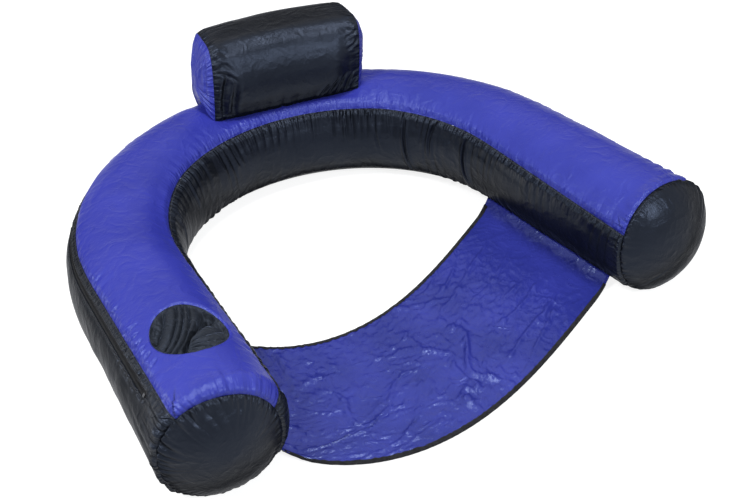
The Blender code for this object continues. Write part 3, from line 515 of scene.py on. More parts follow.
def at_seams(relief, run, low, high, low_seed, high_seed):
    """Ties a panel's relief to its seams, where it is the same as its neighbour's."""
    cap = HALF_RUN - np.abs(run)
    edge = np.minimum(np.minimum(low, high), cap)
    ripple_low = 1.0 + 0.8 * wave(run / 0.0042, low_seed)
    ripple_high = 1.0 + 0.8 * wave(run / 0.0042, high_seed)
    dip = np.maximum(ripple_low * bell(low, 0.0020), ripple_high * bell(high, 0.0020))
    dip = SEAM_DIP * (dip * rise(cap, 0.0, 0.003) + bell(cap, 0.0024))
    return kept_out(relief * rise(edge, 0.0, 0.0030) - dip)


def soft_waves(run, around, height, seed):
    wide = cloud(run / 0.085, around / 0.055, seed)
    fine = cloud(run / 0.030 + 0.6 * wide, around / 0.022, seed + 1)
    return height * (0.7 * wide + 0.3 * fine)


def top_relief(run, low, high):
    relief = fullness(low, high) + soft_waves(run, low, 0.0012, 11)
    relief += puckers(run, high, (0.0085, 0.016, 0.0034, 21), (0.024, 0.030, 0.0032, 22))
    relief += puckers(run, low, (0.0090, 0.011, 0.0026, 23), (0.030, 0.024, 0.0022, 24))
    cap = HALF_RUN - np.abs(run)
    relief += puckers(low, cap, (0.0090, 0.020, 0.0036, 25), (0.024, 0.036, 0.0032, 26))
    for start, end, depth in TOP_CREASES:
        relief += crease(run, high, start, end, depth, 0.0026, 0.003)
    relief *= 1.0 - 0.9 * under_headrest(run) * rise(low, 0.020, 0.032)
    return at_seams(relief, run, low, high, 5, 6)


# Run and distance from the outer seam of the short creases beside the cup pouch
TOP_CREASES = [
    ((-0.800, 0.002), (-0.808, 0.030), 0.0030),
    ((-0.822, 0.002), (-0.826, 0.024), 0.0034),
    ((-0.842, 0.002), (-0.842, 0.022), 0.0034),
    ((-0.862, 0.002), (-0.858, 0.022), 0.0034),
    ((-0.884, 0.002), (-0.876, 0.024), 0.0030),
    ((-0.906, 0.002), (-0.896, 0.028), 0.0026),
    ((-0.700, 0.002), (-0.704, 0.018), 0.0020),
    ((-0.740, 0.002), (-0.744, 0.020), 0.0022),
    ((-0.640, 0.002), (-0.642, 0.018), 0.0018),
]


def inner_relief(run, low, high):
    bent = 0.55 + 0.45 * (1.0 - rise(np.abs(run), 0.50, 0.75))
    relief = 1.3 * fullness(low, high) + soft_waves(run, low, 0.0016, 31)
    relief += bent * puckers(run, high, (0.0085, 0.020, 0.0052, 41), (0.022, 0.052, 0.0060, 42))
    relief += bent * gathers(run, low, 0.0120, 0.020, 0.0040, 43)
    relief += gathers(run, low, 0.029, 0.050, 0.0044, 44)
    cap = HALF_RUN - np.abs(run)
    relief += gathers(low, cap, 0.010, 0.020, 0.0032, 45)
    for start, end, depth in INNER_CREASES:
        relief += crease(run, high, start, end, depth, 0.0035, 0.006)
    return at_seams(relief, run, low, high, 7, 5)


# Run and distance under the inner top seam of the creases that the photograph shows
INNER_CREASES = [
    ((0.366, 0.004), (0.380, 0.130), 0.0050),
    ((0.556, 0.010), (0.568, 0.110), 0.0060),
    ((0.205, 0.002), (0.196, 0.060), 0.0025),
    ((0.285, 0.002), (0.296, 0.085), 0.0025),
    ((0.455, 0.004), (0.440, 0.075), 0.0032),
    ((-0.120, 0.002), (-0.110, 0.060), 0.0022),
    ((-0.310, 0.002), (-0.300, 0.080), 0.0026),
    ((-0.430, 0.002), (-0.446, 0.090), 0.0030),
]


def outer_relief(run, low, high):
    relief = fullness(low, high) + soft_waves(run, low, 0.0020, 51)
    relief += puckers(run, high, (0.0130, 0.026, 0.0036, 62), (0.038, 0.060, 0.0046, 63))
    relief += gathers(run, low, 0.0085, 0.008, 0.0024, 64)
    cap = HALF_RUN - np.abs(run)
    relief += puckers(low, cap, (0.0105, 0.028, 0.0036, 65), (0.028, 0.052, 0.0040, 66))
    return at_seams(relief, run, low, high, 6, 8)


def bottom_relief(run, low, high):
    return at_seams(0.0 * run, run, low, high, 8, 7)


def seam_map(run, low, high, cap):
    """Metres along the nearest seam of a panel and metres away from it."""
    side = np.minimum(low, high)
    along = np.where(cap < side, low + CAP_SEAM_START * np.sign(run), run)
    return np.stack([along, np.minimum(cap, side)], -1)


# Start of an end seam's metres, which keeps them apart from those of the long seams
CAP_SEAM_START = 3.0


def tube_grid(runs, low_angle, high_angle, shares, relief, span_low=None, span_high=None):
    """Points of a panel and its seam map. The spans are the seams that the relief measures from."""
    low, high = low_angle(runs), high_angle(runs)
    run, angle = np.broadcast_arrays(runs, low + (high - low) * shares[:, None])
    from_low = np.radians(angle - (span_low or low_angle)(runs)) * TUBE_WIDTH / 2
    from_high = np.radians((span_high or high_angle)(runs) - angle) * TUBE_WIDTH / 2
    lift = relief(run, from_low, from_high)[..., None]
    far = lapped_run(run, angle)
    points = skin_point(far, angle, over_cap(far))
    normals = grid_normals(points)
    points = points + normals * np.sign(dot(normals, skin_normal(run, angle))) * lift
    points[..., 2] = np.maximum(points[..., 2], 0.0)
    return points, seam_map(run, from_low, from_high, HALF_RUN - np.abs(run))


def seam_at(angle):
    return lambda run: np.full_like(run, angle)


def lap(side, angle):
    """How far past the arm's end the cap's seam was sewn, at a section angle."""
    turn = np.radians(angle)
    if side < 0:
        return 0.0155 + 0.0088 * np.cos(turn + 0.96)
    return -0.0010 - 0.0080 * np.cos(turn - 0.17)


def lapped_run(run, angle):
    """Draws a panel's ends to the seams of the caps."""
    reach = np.where(run < 0, lap(-1, angle), lap(1, angle))
    return run + np.sign(run) * reach * rise(np.abs(run), HALF_RUN - 0.05, HALF_RUN)


def cap_place(past):
    """Place on a cap from 0 at the arm's end to 1 at its tip, from the distance past the arm's end."""
    turn = np.arcsin(np.clip(past / CAP_DOME, 0.0, 1.0) ** (CAP_POWER / 2.0))
    return np.where(past < 0, past / (2.0 * CAP_DOME), turn * 2.0 / math.pi)


def cap_profile(place):
    """Distance past the arm's end and shrink of the section at a place on a cap."""
    turn = np.clip(place, 0.0, 1.0) * math.pi / 2
    past = np.where(place < 0, place * 2.0 * CAP_DOME, CAP_DOME * np.sin(turn) ** (2.0 / CAP_POWER))
    return past, np.maximum(0.0, np.cos(turn)) ** (2.0 / CAP_POWER)


def over_cap(run):
    """Shrink of the section past an arm's end."""
    return cap_profile(cap_place(np.abs(run) - HALF_RUN))[1]


RUNS = even_runs(-HALF_RUN, HALF_RUN)


def make_panel(name, low_angle, high_angle, relief, material):
    width = math.radians(float(high_angle(0.0) - low_angle(0.0))) * TUBE_WIDTH / 2
    points, seam = tube_grid(RUNS, low_angle, high_angle, seam_shares(width), relief)
    return put_grid(name, points, material, seam=seam), points


def zipper_middle(run):
    return outer_top(run) + degrees_along_skin(ZIPPER_DROP + ZIPPER_BAND / 2)


def slit_half(run):
    """Half the width of the slit that the zipper lies in, in degrees."""
    inside = rise(run, -ZIPPER_FRONT_RUN - 0.001, -ZIPPER_FRONT_RUN + 0.006)
    inside = inside * (1.0 - rise(run, -ZIPPER_REAR_RUN - 0.006, -ZIPPER_REAR_RUN + 0.001))
    return degrees_along_skin(ZIPPER_SLIT / 2) * inside


ZIPPER_SLIT = 0.0108


def zipper_band_relief(run, low, high):
    """The narrow strips beside the zipper lie close to the tapes, and their stitching puckers them."""
    along = rise(run, -ZIPPER_FRONT_RUN - 0.03, -ZIPPER_FRONT_RUN + 0.01) * (1.0 - rise(run, -0.05, -0.01))
    middle = ZIPPER_DROP + ZIPPER_BAND / 2
    away = np.abs(low - middle)
    near = bell(np.maximum(away - 0.004, 0.0), 0.008) * along
    pucker = gathers(run, away - 0.0020, 0.0068, 0.010, 0.0042, 71)
    pucker += gathers(run, away, 0.019, 0.016, 0.0036, 72)
    tangle = bell(run + 0.900, 0.034) * (0.5 - np.abs(cloud(run / 0.009, low / 0.006, 73))) * 0.0070
    rows = 0.0009 * np.cos(math.tau * (away - 0.0065) / 0.0042) * (1.0 - rise(away, 0.0125, 0.0150))
    plain = outer_relief(run, low, high)
    stitched = kept_out(0.0014 + rows + (pucker + tangle) * rise(away, 0.0045, 0.0075))
    near = near * rise(low, 0.0, 0.0035)
    return plain * (1.0 - near) + near * stitched


def make_outer_panel():
    """The panel in two grids, over and under the slit, each with a lip turned in to the tapes."""
    low_seam = seam_at(OUTER_LOW_SEAM)
    upper_edge = lambda run: zipper_middle(run) - slit_half(run)
    lower_edge = lambda run: zipper_middle(run) + slit_half(run)
    upper_share = seam_shares(ZIPPER_DROP + ZIPPER_BAND / 2, 0.0016)
    lower_share = seam_shares(0.128)
    relief = zipper_band_relief
    upper, upper_map = tube_grid(RUNS, outer_top, upper_edge, upper_share, relief, outer_top, low_seam)
    lower, lower_map = tube_grid(RUNS, lower_edge, low_seam, lower_share, relief, outer_top, low_seam)
    inward = -skin_normal(RUNS, zipper_middle(RUNS)) * (LIP_DEPTH * np.sign(slit_half(RUNS)))[:, None]
    upper = np.concatenate([upper, [upper[-1] + inward * LIP_BEND, upper[-1] + inward]])
    lower = np.concatenate([[lower[0] + inward, lower[0] + inward * LIP_BEND], lower])
    upper_map = np.pad(upper_map, ((0, LIP_ROWS), (0, 0), (0, 0)), "edge")
    lower_map = np.pad(lower_map, ((LIP_ROWS, 0), (0, 0), (0, 0)), "edge")
    faces = [grid_faces(*upper.shape[:2]), grid_faces(*lower.shape[:2]) + upper[..., 0].size]
    points, seam = np.concatenate([upper, lower]), np.concatenate([upper_map, lower_map])
    panel = put_mesh("outer_panel_cloth", points, np.concatenate(faces), BLACK, seam)
    dress(panel, "root", "nylon_black", "cover_outer_panel")
    return upper, lower


LIP_DEPTH = 0.0012
LIP_BEND = 0.15
LIP_ROWS = 2


def cup_rim(turns):
    """Radius and height of the pouch's rim, where its cone meets the tube's skin."""
    top = float(over_tube(*CUP_POINT[:2]))
    radius = np.full_like(turns, CUP_RADIUS)
    for _step in range(4):
        level = over_tube(CUP_POINT[0] + radius * np.cos(turns), CUP_POINT[1] + radius * np.sin(turns))
        radius = CUP_RADIUS + CUP_SLOPE * (level - top)
    return radius, level


def cut_cup_hole(panel):
    """Opens the top panel round the cup pouch and draws the cloth's edge onto a clean ring."""
    turns = np.linspace(-math.pi, math.pi, 361)
    radii, levels = cup_rim(turns)
    form = bmesh.new()
    form.from_mesh(panel.data)
    middle = Vector(CUP_POINT).xy
    reach = {}
    for vertex in form.verts:
        away = vertex.co.xy - middle
        if away.length < CUP_RADIUS + 4 * SKIN_STEP:
            reach[vertex] = float(np.interp(math.atan2(away.y, away.x), turns, radii))
    inside = [v for v, radius in reach.items() if (v.co.xy - middle).length < radius - 0.4 * SKIN_STEP]
    bmesh.ops.delete(form, geom=inside, context="VERTS")
    for vertex in form.verts:
        if vertex.is_boundary and vertex in reach:
            away = vertex.co.xy - middle
            spot = middle + away.normalized() * reach[vertex]
            level = float(np.interp(math.atan2(away.y, away.x), turns, levels))
            vertex.co = (*spot, level + HOLE_LIFT)
    form.to_mesh(panel.data)
    form.free()


HOLE_LIFT = 0.0006


def cap_relief(turn, away, side):
    """Gathers that run from the cap's seam towards its middle."""
    round_cap = turn / math.tau * 0.62
    outside = np.degrees(np.abs(np.angle(np.exp(1j * (turn - math.radians(CREASED_TURN))))))
    strong = 0.35 + 1.45 * bell(outside, 34.0)
    relief = 0.0016 * rise(away, 0.0, 0.014)
    relief += gathers(round_cap, away, 0.0070, 0.013, 0.0030, 81 + side)
    broad, broader = (0.0125, 0.026, 0.0056, 84 + side), (0.0290, 0.034, 0.0052, 87 + side)
    relief += strong * puckers(round_cap, away, broad, broader)
    relief = (relief + soft_waves(round_cap, away, 0.0008, 90 + side)) * rise(away, 0.0, 0.003)
    return kept_out(relief - SEAM_DIP * bell(away, 0.0024))


CREASED_TURN = 62.0
CAP_REACH = 0.125
CAP_ROUND = 360
CAP_RINGS = 64


def make_cap(name, node, side):
    turns = np.linspace(0.0, 360.0, CAP_ROUND, endpoint=False) + INNER_LOW_SEAM
    share = np.linspace(0.0, 1.0, CAP_RINGS)[:, None] ** 0.9
    start = cap_place(lap(side, turns))[None, :]
    past, shrink = cap_profile(start + (1.0 - start) * share)
    angle, away = np.broadcast_arrays(turns[None, :], share * CAP_REACH)
    points = skin_point(side * (HALF_RUN + past), angle, shrink)
    normals = grid_normals(points, wrap=True)
    _point, _normal, tangent = centre_line(np.array(side * HALF_RUN))
    outward = normals * np.sign(np.sum(normals[20] * (points[20] - points[-1].mean(axis=0))))
    outward[-3:] = tangent * side
    relief = cap_relief(np.radians(angle), away, 0 if side < 0 else 1) * (1.0 - rise(share, 0.45, 0.85))
    points = points + outward * relief[..., None]
    points[..., 2] = np.maximum(points[..., 2], 0.0)
    cap = put_grid(name, points, BLACK, True, np.stack([np.radians(angle) * TUBE_WIDTH / 2, away], -1))
    dress(cap, "root", "nylon_black", node)


# Headrest
def headrest_frame():
    point, normal, tangent = centre_line(np.array(HEADREST_RUN))
    place = point + normal * (HEADREST_OFFSET - HEADREST_FOLD_REACH)
    place[2] = HEADREST_FOLD_HEIGHT
    return place, tangent, normal


HEAD_PLACE, HEAD_ACROSS, HEAD_BACK = headrest_frame()


def pillow_point(across, depth, height):
    """World points of the pillow: along it, back from its front edge and up from its underside."""
    across, depth, height = np.broadcast_arrays(across, depth, height)
    back = HEADREST_FOLD_REACH + depth - HEADREST_BEND * (2 * across / HEADREST_WIDTH) ** 2
    plan = HEAD_PLACE + across[..., None] * HEAD_ACROSS + back[..., None] * HEAD_BACK
    under = np.maximum(HEADREST_LOW, over_tube(plan[..., 0], plan[..., 1]))
    under = under + HEADREST_GAP - HEADREST_FOLD_HEIGHT
    fade = (1.0 - np.minimum(1.0, height / HEADREST_HEIGHT)) ** 2
    level = height * (1.0 - fade) + (under + height) * fade
    side = HEADREST_SIDE_LEAN * height
    return plan + side[..., None] * HEAD_ACROSS + level[..., None] * np.array([0.0, 0.0, 1.0])


def side_outline(shares):
    """Depth and height over the pillow's front, top and rear, at even lengths."""
    turn = np.linspace(0.0, math.pi, 1200)
    flat = np.sign(np.cos(turn)) * np.abs(np.cos(turn)) ** (2.0 / HEADREST_POWER)
    depth = HEADREST_DEPTH / 2 * (1.0 - flat)
    height = HEADREST_HEIGHT * np.abs(np.sin(turn)) ** (2.0 / HEADREST_POWER)
    length = np.concatenate([[0.0], np.cumsum(np.hypot(np.diff(depth), np.diff(height)))])
    target = np.asarray(shares) * length[-1]
    return np.interp(target, length, depth), np.interp(target, length, height), length[-1]


def swollen(across, depth, height):
    share = np.minimum(1.0, np.abs(across) / (HEADREST_WIDTH / 2))
    swell = HEADREST_CROWN * (1.0 - share ** 2.4)
    level = np.minimum(1.0, height / HEADREST_HEIGHT)
    lift = np.sin(np.minimum(1.0, level * 2.2) * math.pi / 2)
    depth = depth + swell * lift * (depth - HEADREST_DEPTH / 2) / (HEADREST_DEPTH / 2)
    return pillow_point(across, depth, height + swell * level)


# Across and round the wrap, in metres from its middle and its front bottom edge
WRAP_CREASES = [
    ((-0.136, 0.020), (-0.128, 0.110), 0.0060, 0.0050),
    ((-0.118, 0.015), (-0.112, 0.090), 0.0032, 0.0060),
    ((-0.147, 0.120), (-0.110, 0.098), 0.0040, 0.0028),
    ((-0.148, 0.140), (-0.118, 0.122), 0.0034, 0.0026),
    ((-0.147, 0.158), (-0.122, 0.148), 0.0034, 0.0026),
    ((0.068, 0.004), (0.088, 0.042), 0.0034, 0.0026),
    ((0.086, 0.004), (0.106, 0.052), 0.0042, 0.0028),
    ((0.104, 0.004), (0.122, 0.060), 0.0044, 0.0030),
    ((0.122, 0.004), (0.138, 0.054), 0.0040, 0.0028),
    ((0.136, 0.006), (0.149, 0.036), 0.0030, 0.0024),
    ((0.149, 0.128), (0.126, 0.112), 0.0036, 0.0026),
    ((0.149, 0.146), (0.124, 0.136), 0.0034, 0.0026),
    ((0.149, 0.160), (0.128, 0.160), 0.0030, 0.0026),
]


FRONT_BULGE = 0.019
WRAP_LENGTH = 0.44
WRAP_STEP = 0.0024
WRAP_ACROSS = 128
END_ROUND = 176
END_FLAT = 44
END_RINGS = 30
END_CENTRE = (HEADREST_DEPTH / 2, HEADREST_HEIGHT * 0.48)
END_REACH = 0.07
BASE_ACROSS = 62
BASE_DEEP = 24


def wrap_relief(across, round_it, total):
    end = HEADREST_WIDTH / 2 - np.abs(across)
    low = np.minimum(round_it, total - round_it)
    edge = np.minimum(end, low)
    relief = 0.0040 * rise(edge, 0.0, 0.018)
    relief += puckers(round_it, end, (0.0080, 0.016, 0.0040, 101), (0.0200, 0.034, 0.0048, 104))
    relief += puckers(across, low, (0.0090, 0.013, 0.0036, 107), (0.0250, 0.032, 0.0040, 110))
    relief += soft_waves(across, round_it, 0.0014, 113)
    relief += FRONT_BULGE * np.sin(math.pi * np.clip(round_it / 0.158, 0.0, 1.0)) * rise(end, 0.0, 0.055)
    for start, stop, depth, width in WRAP_CREASES:
        relief += crease(across, round_it, start, stop, depth, width, 0.003)
    return kept_out(relief * rise(edge, 0.0, 0.003) - SEAM_DIP * bell(edge, 0.0022))


def make_headrest():
    half = HEADREST_WIDTH / 2
    share = seam_shares(WRAP_LENGTH, WRAP_STEP)
    depth, height, total = side_outline(share)
    across, round_it = np.broadcast_arrays(np.linspace(-half, half, WRAP_ACROSS), share[:, None] * total)
    points = swollen(across, depth[:, None], height[:, None])
    middle = pillow_point(np.array(0.0), np.array(HEADREST_DEPTH / 2), np.array(HEADREST_HEIGHT / 2))
    normals = grid_normals(points)
    normals *= np.sign(dot(normals, points - middle).mean())
    points = points + normals * wrap_relief(across, round_it, total)[..., None]
    seam = seam_map(across, round_it, total - round_it, half - np.abs(across))
    wrap = put_grid("headrest_wrap_cloth", points, BLACK, seam=seam)
    dress(wrap, "headrest", "nylon_black", "headrest_wrap")
    make_headrest_end("headrest_left_cloth", "headrest_left_end", -1)
    make_headrest_end("headrest_right_cloth", "headrest_right_end", 1)
    make_headrest_base()


def make_headrest_end(name, node, side):
    """An end panel: rings from its seam to its middle, bulging and gathered at the seam."""
    depth, height, total = side_outline(np.linspace(0.0, 1.0, END_ROUND))
    depth = np.concatenate([depth, np.linspace(HEADREST_DEPTH, 0.0, END_FLAT + 2)[1:-1]])
    height = np.concatenate([height, np.zeros(END_FLAT)])
    ring = np.linspace(1.0, 0.0, END_RINGS)[:, None]
    deep = END_CENTRE[0] + (depth - END_CENTRE[0]) * ring
    high = END_CENTRE[1] + (height - END_CENTRE[1]) * ring
    along = np.arange(len(depth)) / END_ROUND * total
    along, away = np.broadcast_arrays(along, (1.0 - ring) * END_REACH)
    sizes = (0.0080, 0.016, 0.0028, 121 + side), (0.0220, 0.034, 0.0030, 125 + side)
    relief = 0.002 * rise(away, 0.0, 0.010) + puckers(along, away, *sizes)
    for start, stop, fold, width in END_CREASES:
        relief += crease(deep, high, start, stop, fold, width, 0.002) * (1.0 - ring ** 8)
    relief = kept_out(relief * np.where(along > total, 0.4, 1.0) * rise(ring, 0.0, 0.25))
    bulge = HEADREST_END_BULGE * (1.0 - ring ** 2)
    points = pillow_point(side * (HEADREST_WIDTH / 2 + bulge + relief), deep, high)
    end = put_grid(name, points, BLUE, True, np.stack([along, away], -1))
    dress(end, "headrest", "nylon_blue", node)


# Depth and height of the creases on the end panels, from the front bottom corner
END_CREASES = [
    ((0.018, 0.060), (0.024, 0.150), 0.0026, 0.0030),
    ((0.040, 0.090), (0.030, 0.155), 0.0024, 0.0028),
    ((0.092, 0.100), (0.100, 0.150), 0.0020, 0.0028),
    ((0.020, 0.010), (0.034, 0.048), 0.0020, 0.0026),
]


def make_headrest_base():
    half = HEADREST_WIDTH / 2
    across = np.linspace(-half, half, BASE_ACROSS)
    depth = np.linspace(0.0, HEADREST_DEPTH, BASE_DEEP)[:, None]
    base = put_grid("headrest_base_cloth", pillow_point(across, depth, np.array(0.0)), BLACK)
    dress(base, "headrest", "nylon_black", "headrest_base")


# Cup pouch
VIEW_TURN = math.radians(29.5)
FOLD_DEPTH = 0.034
POUCH_GAP = 0.0004
POUCH_ROUND = 300
POUCH_RINGS = 96


def pouch_sag(right, far):
    """How far the slumped pouch lies under its rim. Right and far go from -1 to 1 over its mouth."""
    bent = right + 0.22 * far ** 2 - 0.10 * far
    pleats = np.abs(np.sin(math.pi * (bent * 4.3 + 0.45 * wave(bent * 2.6, 131)))) ** 0.6
    hollow = 0.008 * np.cos(np.clip(bent + 0.42, -0.6, 0.6) * 2.4)
    left = 0.012 + 0.005 * (1.0 - far) - hollow - 0.0075 * pleats
    turn = np.arctan2(far + 0.85, right + 0.10)
    rays = np.abs(np.sin(math.pi * (turn * 3.1 + 0.5 * cloud(right * 2.0, far * 2.0, 133)))) ** 0.6
    flap = 0.009 + 0.010 * (right - 0.45) ** 2 + 0.004 * far - 0.0065 * rays
    knots = np.abs(cloud(right * 5.0 + 0.6 * far, far * 3.4, 135))
    upper = 0.020 - 0.011 * knots - 0.008 * rise(right, 0.35, 0.9)
    flap = flap + (upper - flap) * rise(far, 0.10 + 0.25 * right, 0.26 + 0.25 * right)
    fold = 0.10 + 0.16 * np.sin(far * 2.6) - 0.05 * far
    sag = left + (flap - left) * rise(right, fold - 0.05, fold + 0.05)
    faded = rise(far, -0.95, -0.5) * (1.0 - rise(far, 0.45, 0.85))
    return sag + FOLD_DEPTH * bell(right - fold, 0.060) * faded


def make_cup_pouch():
    """A soft pouch that has slumped: pleats on one side, a flap on the other and a deep fold between."""
    turns = np.linspace(0.0, math.tau, POUCH_ROUND, endpoint=False)[None, :]
    ring = (1.0 - np.linspace(0.0, 1.0, POUCH_RINGS) ** 1.25)[:, None]
    radius, rim_level = cup_rim(turns)
    rim_x, rim_y = radius * np.cos(turns), radius * np.sin(turns)
    right = (rim_x * math.cos(VIEW_TURN) - rim_y * math.sin(VIEW_TURN)) * ring / CUP_RADIUS
    far = (rim_x * math.sin(VIEW_TURN) + rim_y * math.cos(VIEW_TURN)) * ring / CUP_RADIUS
    away = (1.0 - ring) * CUP_RADIUS
    sag = pouch_sag(right, far) - gathers(turns * CUP_RADIUS, away, 0.0120, 0.012, 0.0040, 137)
    bulge = float(over_tube(*CUP_POINT[:2])) - rim_level
    height = rim_level + bulge * (1.0 - ring ** 2) + POUCH_GAP - sag * rise(away, -POUCH_GAP, 0.0080)
    cone = radius - CUP_SLOPE * np.maximum(0.0, rim_level - height) - POUCH_GAP
    inward = np.minimum(ring, cone / radius)
    points = np.stack([CUP_POINT[0] + rim_x * inward, CUP_POINT[1] + rim_y * inward, height], -1)
    pouch = put_grid("cup_pouch_cloth", points, POUCH_BLACK, wrap=True)
    dress(pouch, "root", "nylon_black", "cup_pouch")


# Sling seat
def seat_side(run):
    place = skin_point(run, INNER_LOW_SEAM + np.zeros_like(run))
    _point, normal, _tangent = centre_line(run)
    turn = math.radians(INNER_LOW_SEAM)
    return place + (normal * math.sin(turn) + np.array([0.0, 0.0, math.cos(turn)])) * SEAT_SIDE_GAP


def seat_point(across, back):
    """Points of the seat: across is 0 at the -X arm and back is 0 at the front edge."""
    across, back = np.broadcast_arrays(np.asarray(across, float), np.asarray(back, float))
    run = SEAT_FRONT_RUN + (SEAT_REAR_RUN - SEAT_FRONT_RUN) * back
    bulge = SEAT_FRONT_BULGE + (SEAT_REAR_BULGE - SEAT_FRONT_BULGE) * back
    skew = math.log(0.5) / math.log(SEAT_PEAK)
    left, right = seat_side(-run), seat_side(run)
    place = left + (right - left) * across[..., None]
    place[..., 1] -= bulge * np.sin(math.pi * across ** skew)
    from_side = np.minimum(across, 1.0 - across) * (right - left)[..., 0]
    fall = np.maximum(0.0, 1.0 - from_side / SEAT_DROP) ** 2
    place[..., 2] = SEAT_FLOOR + (left[..., 2] - SEAT_FLOOR) * fall
    return place


SEAT_ACROSS = 130
SEAT_BACK = 96
SEAT_GRID = (np.linspace(0.0, 1.0, SEAT_ACROSS)[None, :], np.linspace(0.0, 1.0, SEAT_BACK)[:, None])
SEAT_GROWTH = 0.10
SEAT_LEAST_GROWTH = 0.012
SEAT_FRAMES = 34
SEAT_REACH = 0.030
SEAT_THICKNESS = 0.0005


def seat_folds(points):
    across, back = SEAT_GRID
    inside = np.minimum(1.0, 6.0 * np.minimum(np.minimum(across, 1.0 - across), np.minimum(back, 1.0 - back)))
    warp = cloud(across * 5.0, back * 4.0, 151)
    fold = np.abs(cloud(across * 9.0 + warp, back * 6.0 + 2.0 * warp, 152))
    fine = np.abs(cloud(across * 22.0 + 2.0 * warp, back * 15.0 - warp, 153))
    points[..., 2] += inside * (0.010 * (1.0 - fold) ** 3 + 0.004 * (1.0 - fine) ** 2)
    return points


def seat_slack():
    """Share of the extra cloth over the sheet: most at the cup's side and in scattered patches."""
    across, back = SEAT_GRID
    patches = cloud(across * 2.6, back * 2.0, 157)
    return np.clip(0.34 + 0.60 * patches + 0.5 * (0.45 - across) + 0.25 * (back - 0.5), 0.0, 1.0)


def settle_seat(sheet):
    """Lets the sheet, cut larger than its outline, buckle and settle on the floor."""
    scene = bpy.context.scene
    index = np.arange(SEAT_ACROSS * SEAT_BACK).reshape(SEAT_BACK, SEAT_ACROSS)
    edges = np.unique(np.concatenate([index[0], index[-1], index[:, 0], index[:, -1]]))
    sheet.vertex_groups.new(name="sewn").add(edges.tolist(), 1.0, "REPLACE")
    taut = sheet.vertex_groups.new(name="taut")
    for number, slack in enumerate(seat_slack().reshape(-1).tolist()):
        taut.add([number], 1.0 - slack, "REPLACE")
    modifier = sheet.modifiers.new("settle", "CLOTH")
    cloth = modifier.settings
    cloth.vertex_group_mass = "sewn"
    cloth.quality = 6
    cloth.mass = 0.12
    cloth.tension_stiffness = 12.0
    cloth.compression_stiffness = 12.0
    cloth.shear_stiffness = 4.0
    cloth.bending_stiffness = 1.2
    cloth.air_damping = 2.0
    cloth.vertex_group_shrink = "taut"
    cloth.shrink_min = -SEAT_GROWTH
    cloth.shrink_max = -SEAT_LEAST_GROWTH
    modifier.collision_settings.distance_min = 0.0015
    modifier.collision_settings.use_self_collision = False
    bpy.ops.mesh.primitive_plane_add(size=3.0, location=(0.0, 0.0, 0.0))
    ground = bpy.context.active_object
    ground.modifiers.new("ground", "COLLISION")
    ground.collision.thickness_outer = 0.001
    ground.collision.cloth_friction = 25.0
    modifier.point_cache.frame_start = 1
    modifier.point_cache.frame_end = SEAT_FRAMES
    for step in range(1, SEAT_FRAMES + 1):
        scene.frame_set(step)
    settled = sheet.evaluated_get(bpy.context.evaluated_depsgraph_get()).to_mesh()
    places = np.empty(len(settled.vertices) * 3)
    settled.vertices.foreach_get("co", places)
    scene.frame_set(1)
    sheet.modifiers.clear()
    sheet.vertex_groups.clear()
    bpy.data.objects.remove(ground, do_unlink=True)
    return places.reshape(SEAT_BACK, SEAT_ACROSS, 3)


def make_seat():
    plain = seat_point(*SEAT_GRID)
    places = seat_folds(plain.copy())
    sheet = put_grid("seat_sheet_cloth", places, SEAT_BLUE)
    move = settle_seat(sheet) - plain
    far = np.linalg.norm(move, axis=-1, keepdims=True)
    places = plain + move * np.minimum(1.0, SEAT_REACH / np.maximum(far, 1e-9))
    places[..., 2] = np.maximum(places[..., 2], SEAT_FLOOR / 2)
    sheet.data.vertices.foreach_set("co", places.reshape(-1))
    thick = sheet.modifiers.new("thickness", "SOLIDIFY")
    thick.thickness = SEAT_THICKNESS
    thick.offset = 0.0
    dress(sheet, "root", "nylon_blue", "seat_sheet")
    front = make_binding("seat_front_binding_tape", "seat_front_binding", places[:5])
    rear = make_binding("seat_rear_binding_tape", "seat_rear_binding", places[:-6:-1])
    return sheet, places, front, rear


# Reach over the sheet and lift from it, from the binding's upper edge to its fold
BINDING_SECTION = [
    (0.0078, 0.0009), (0.0064, 0.0015), (0.0042, 0.0016), (0.0020, 0.0016), (-0.0002, 0.0012), (-0.0010, 0.0),
]


def make_binding(name, node, rows):
    """Binding tape folded over a free edge. It follows the sheet's first rows from that edge."""
    spacing = np.linalg.norm(rows[1:] - rows[:-1], axis=-1).mean()
    up = grid_normals(rows)
    up *= np.sign(up[..., 2:3])
    sides = []
    for reach, lift in BINDING_SECTION + [(reach, -lift) for reach, lift in BINDING_SECTION[-2::-1]]:
        low = min(max(int(reach / spacing), 0), len(rows) - 2)
        share = reach / spacing - low
        sides.append(rows[low] * (1 - share) + rows[low + 1] * share + up[max(low, 1)] * lift)
    points = np.stack(sides, axis=1)
    points[..., 2] = np.maximum(points[..., 2], 0.0)
    return dress(put_grid(name, points[3:-3], BINDING), "root", "binding_black", node)


# Stitching and the zipper's teeth
def lengths_along(line):
    return np.concatenate([[0.0], np.cumsum(np.linalg.norm(np.diff(line, axis=0), axis=1))])


def sampled(where, length, values):
    """Values of a line at places along it."""
    return np.stack([np.interp(where, length, values[:, axis]) for axis in range(3)], -1)


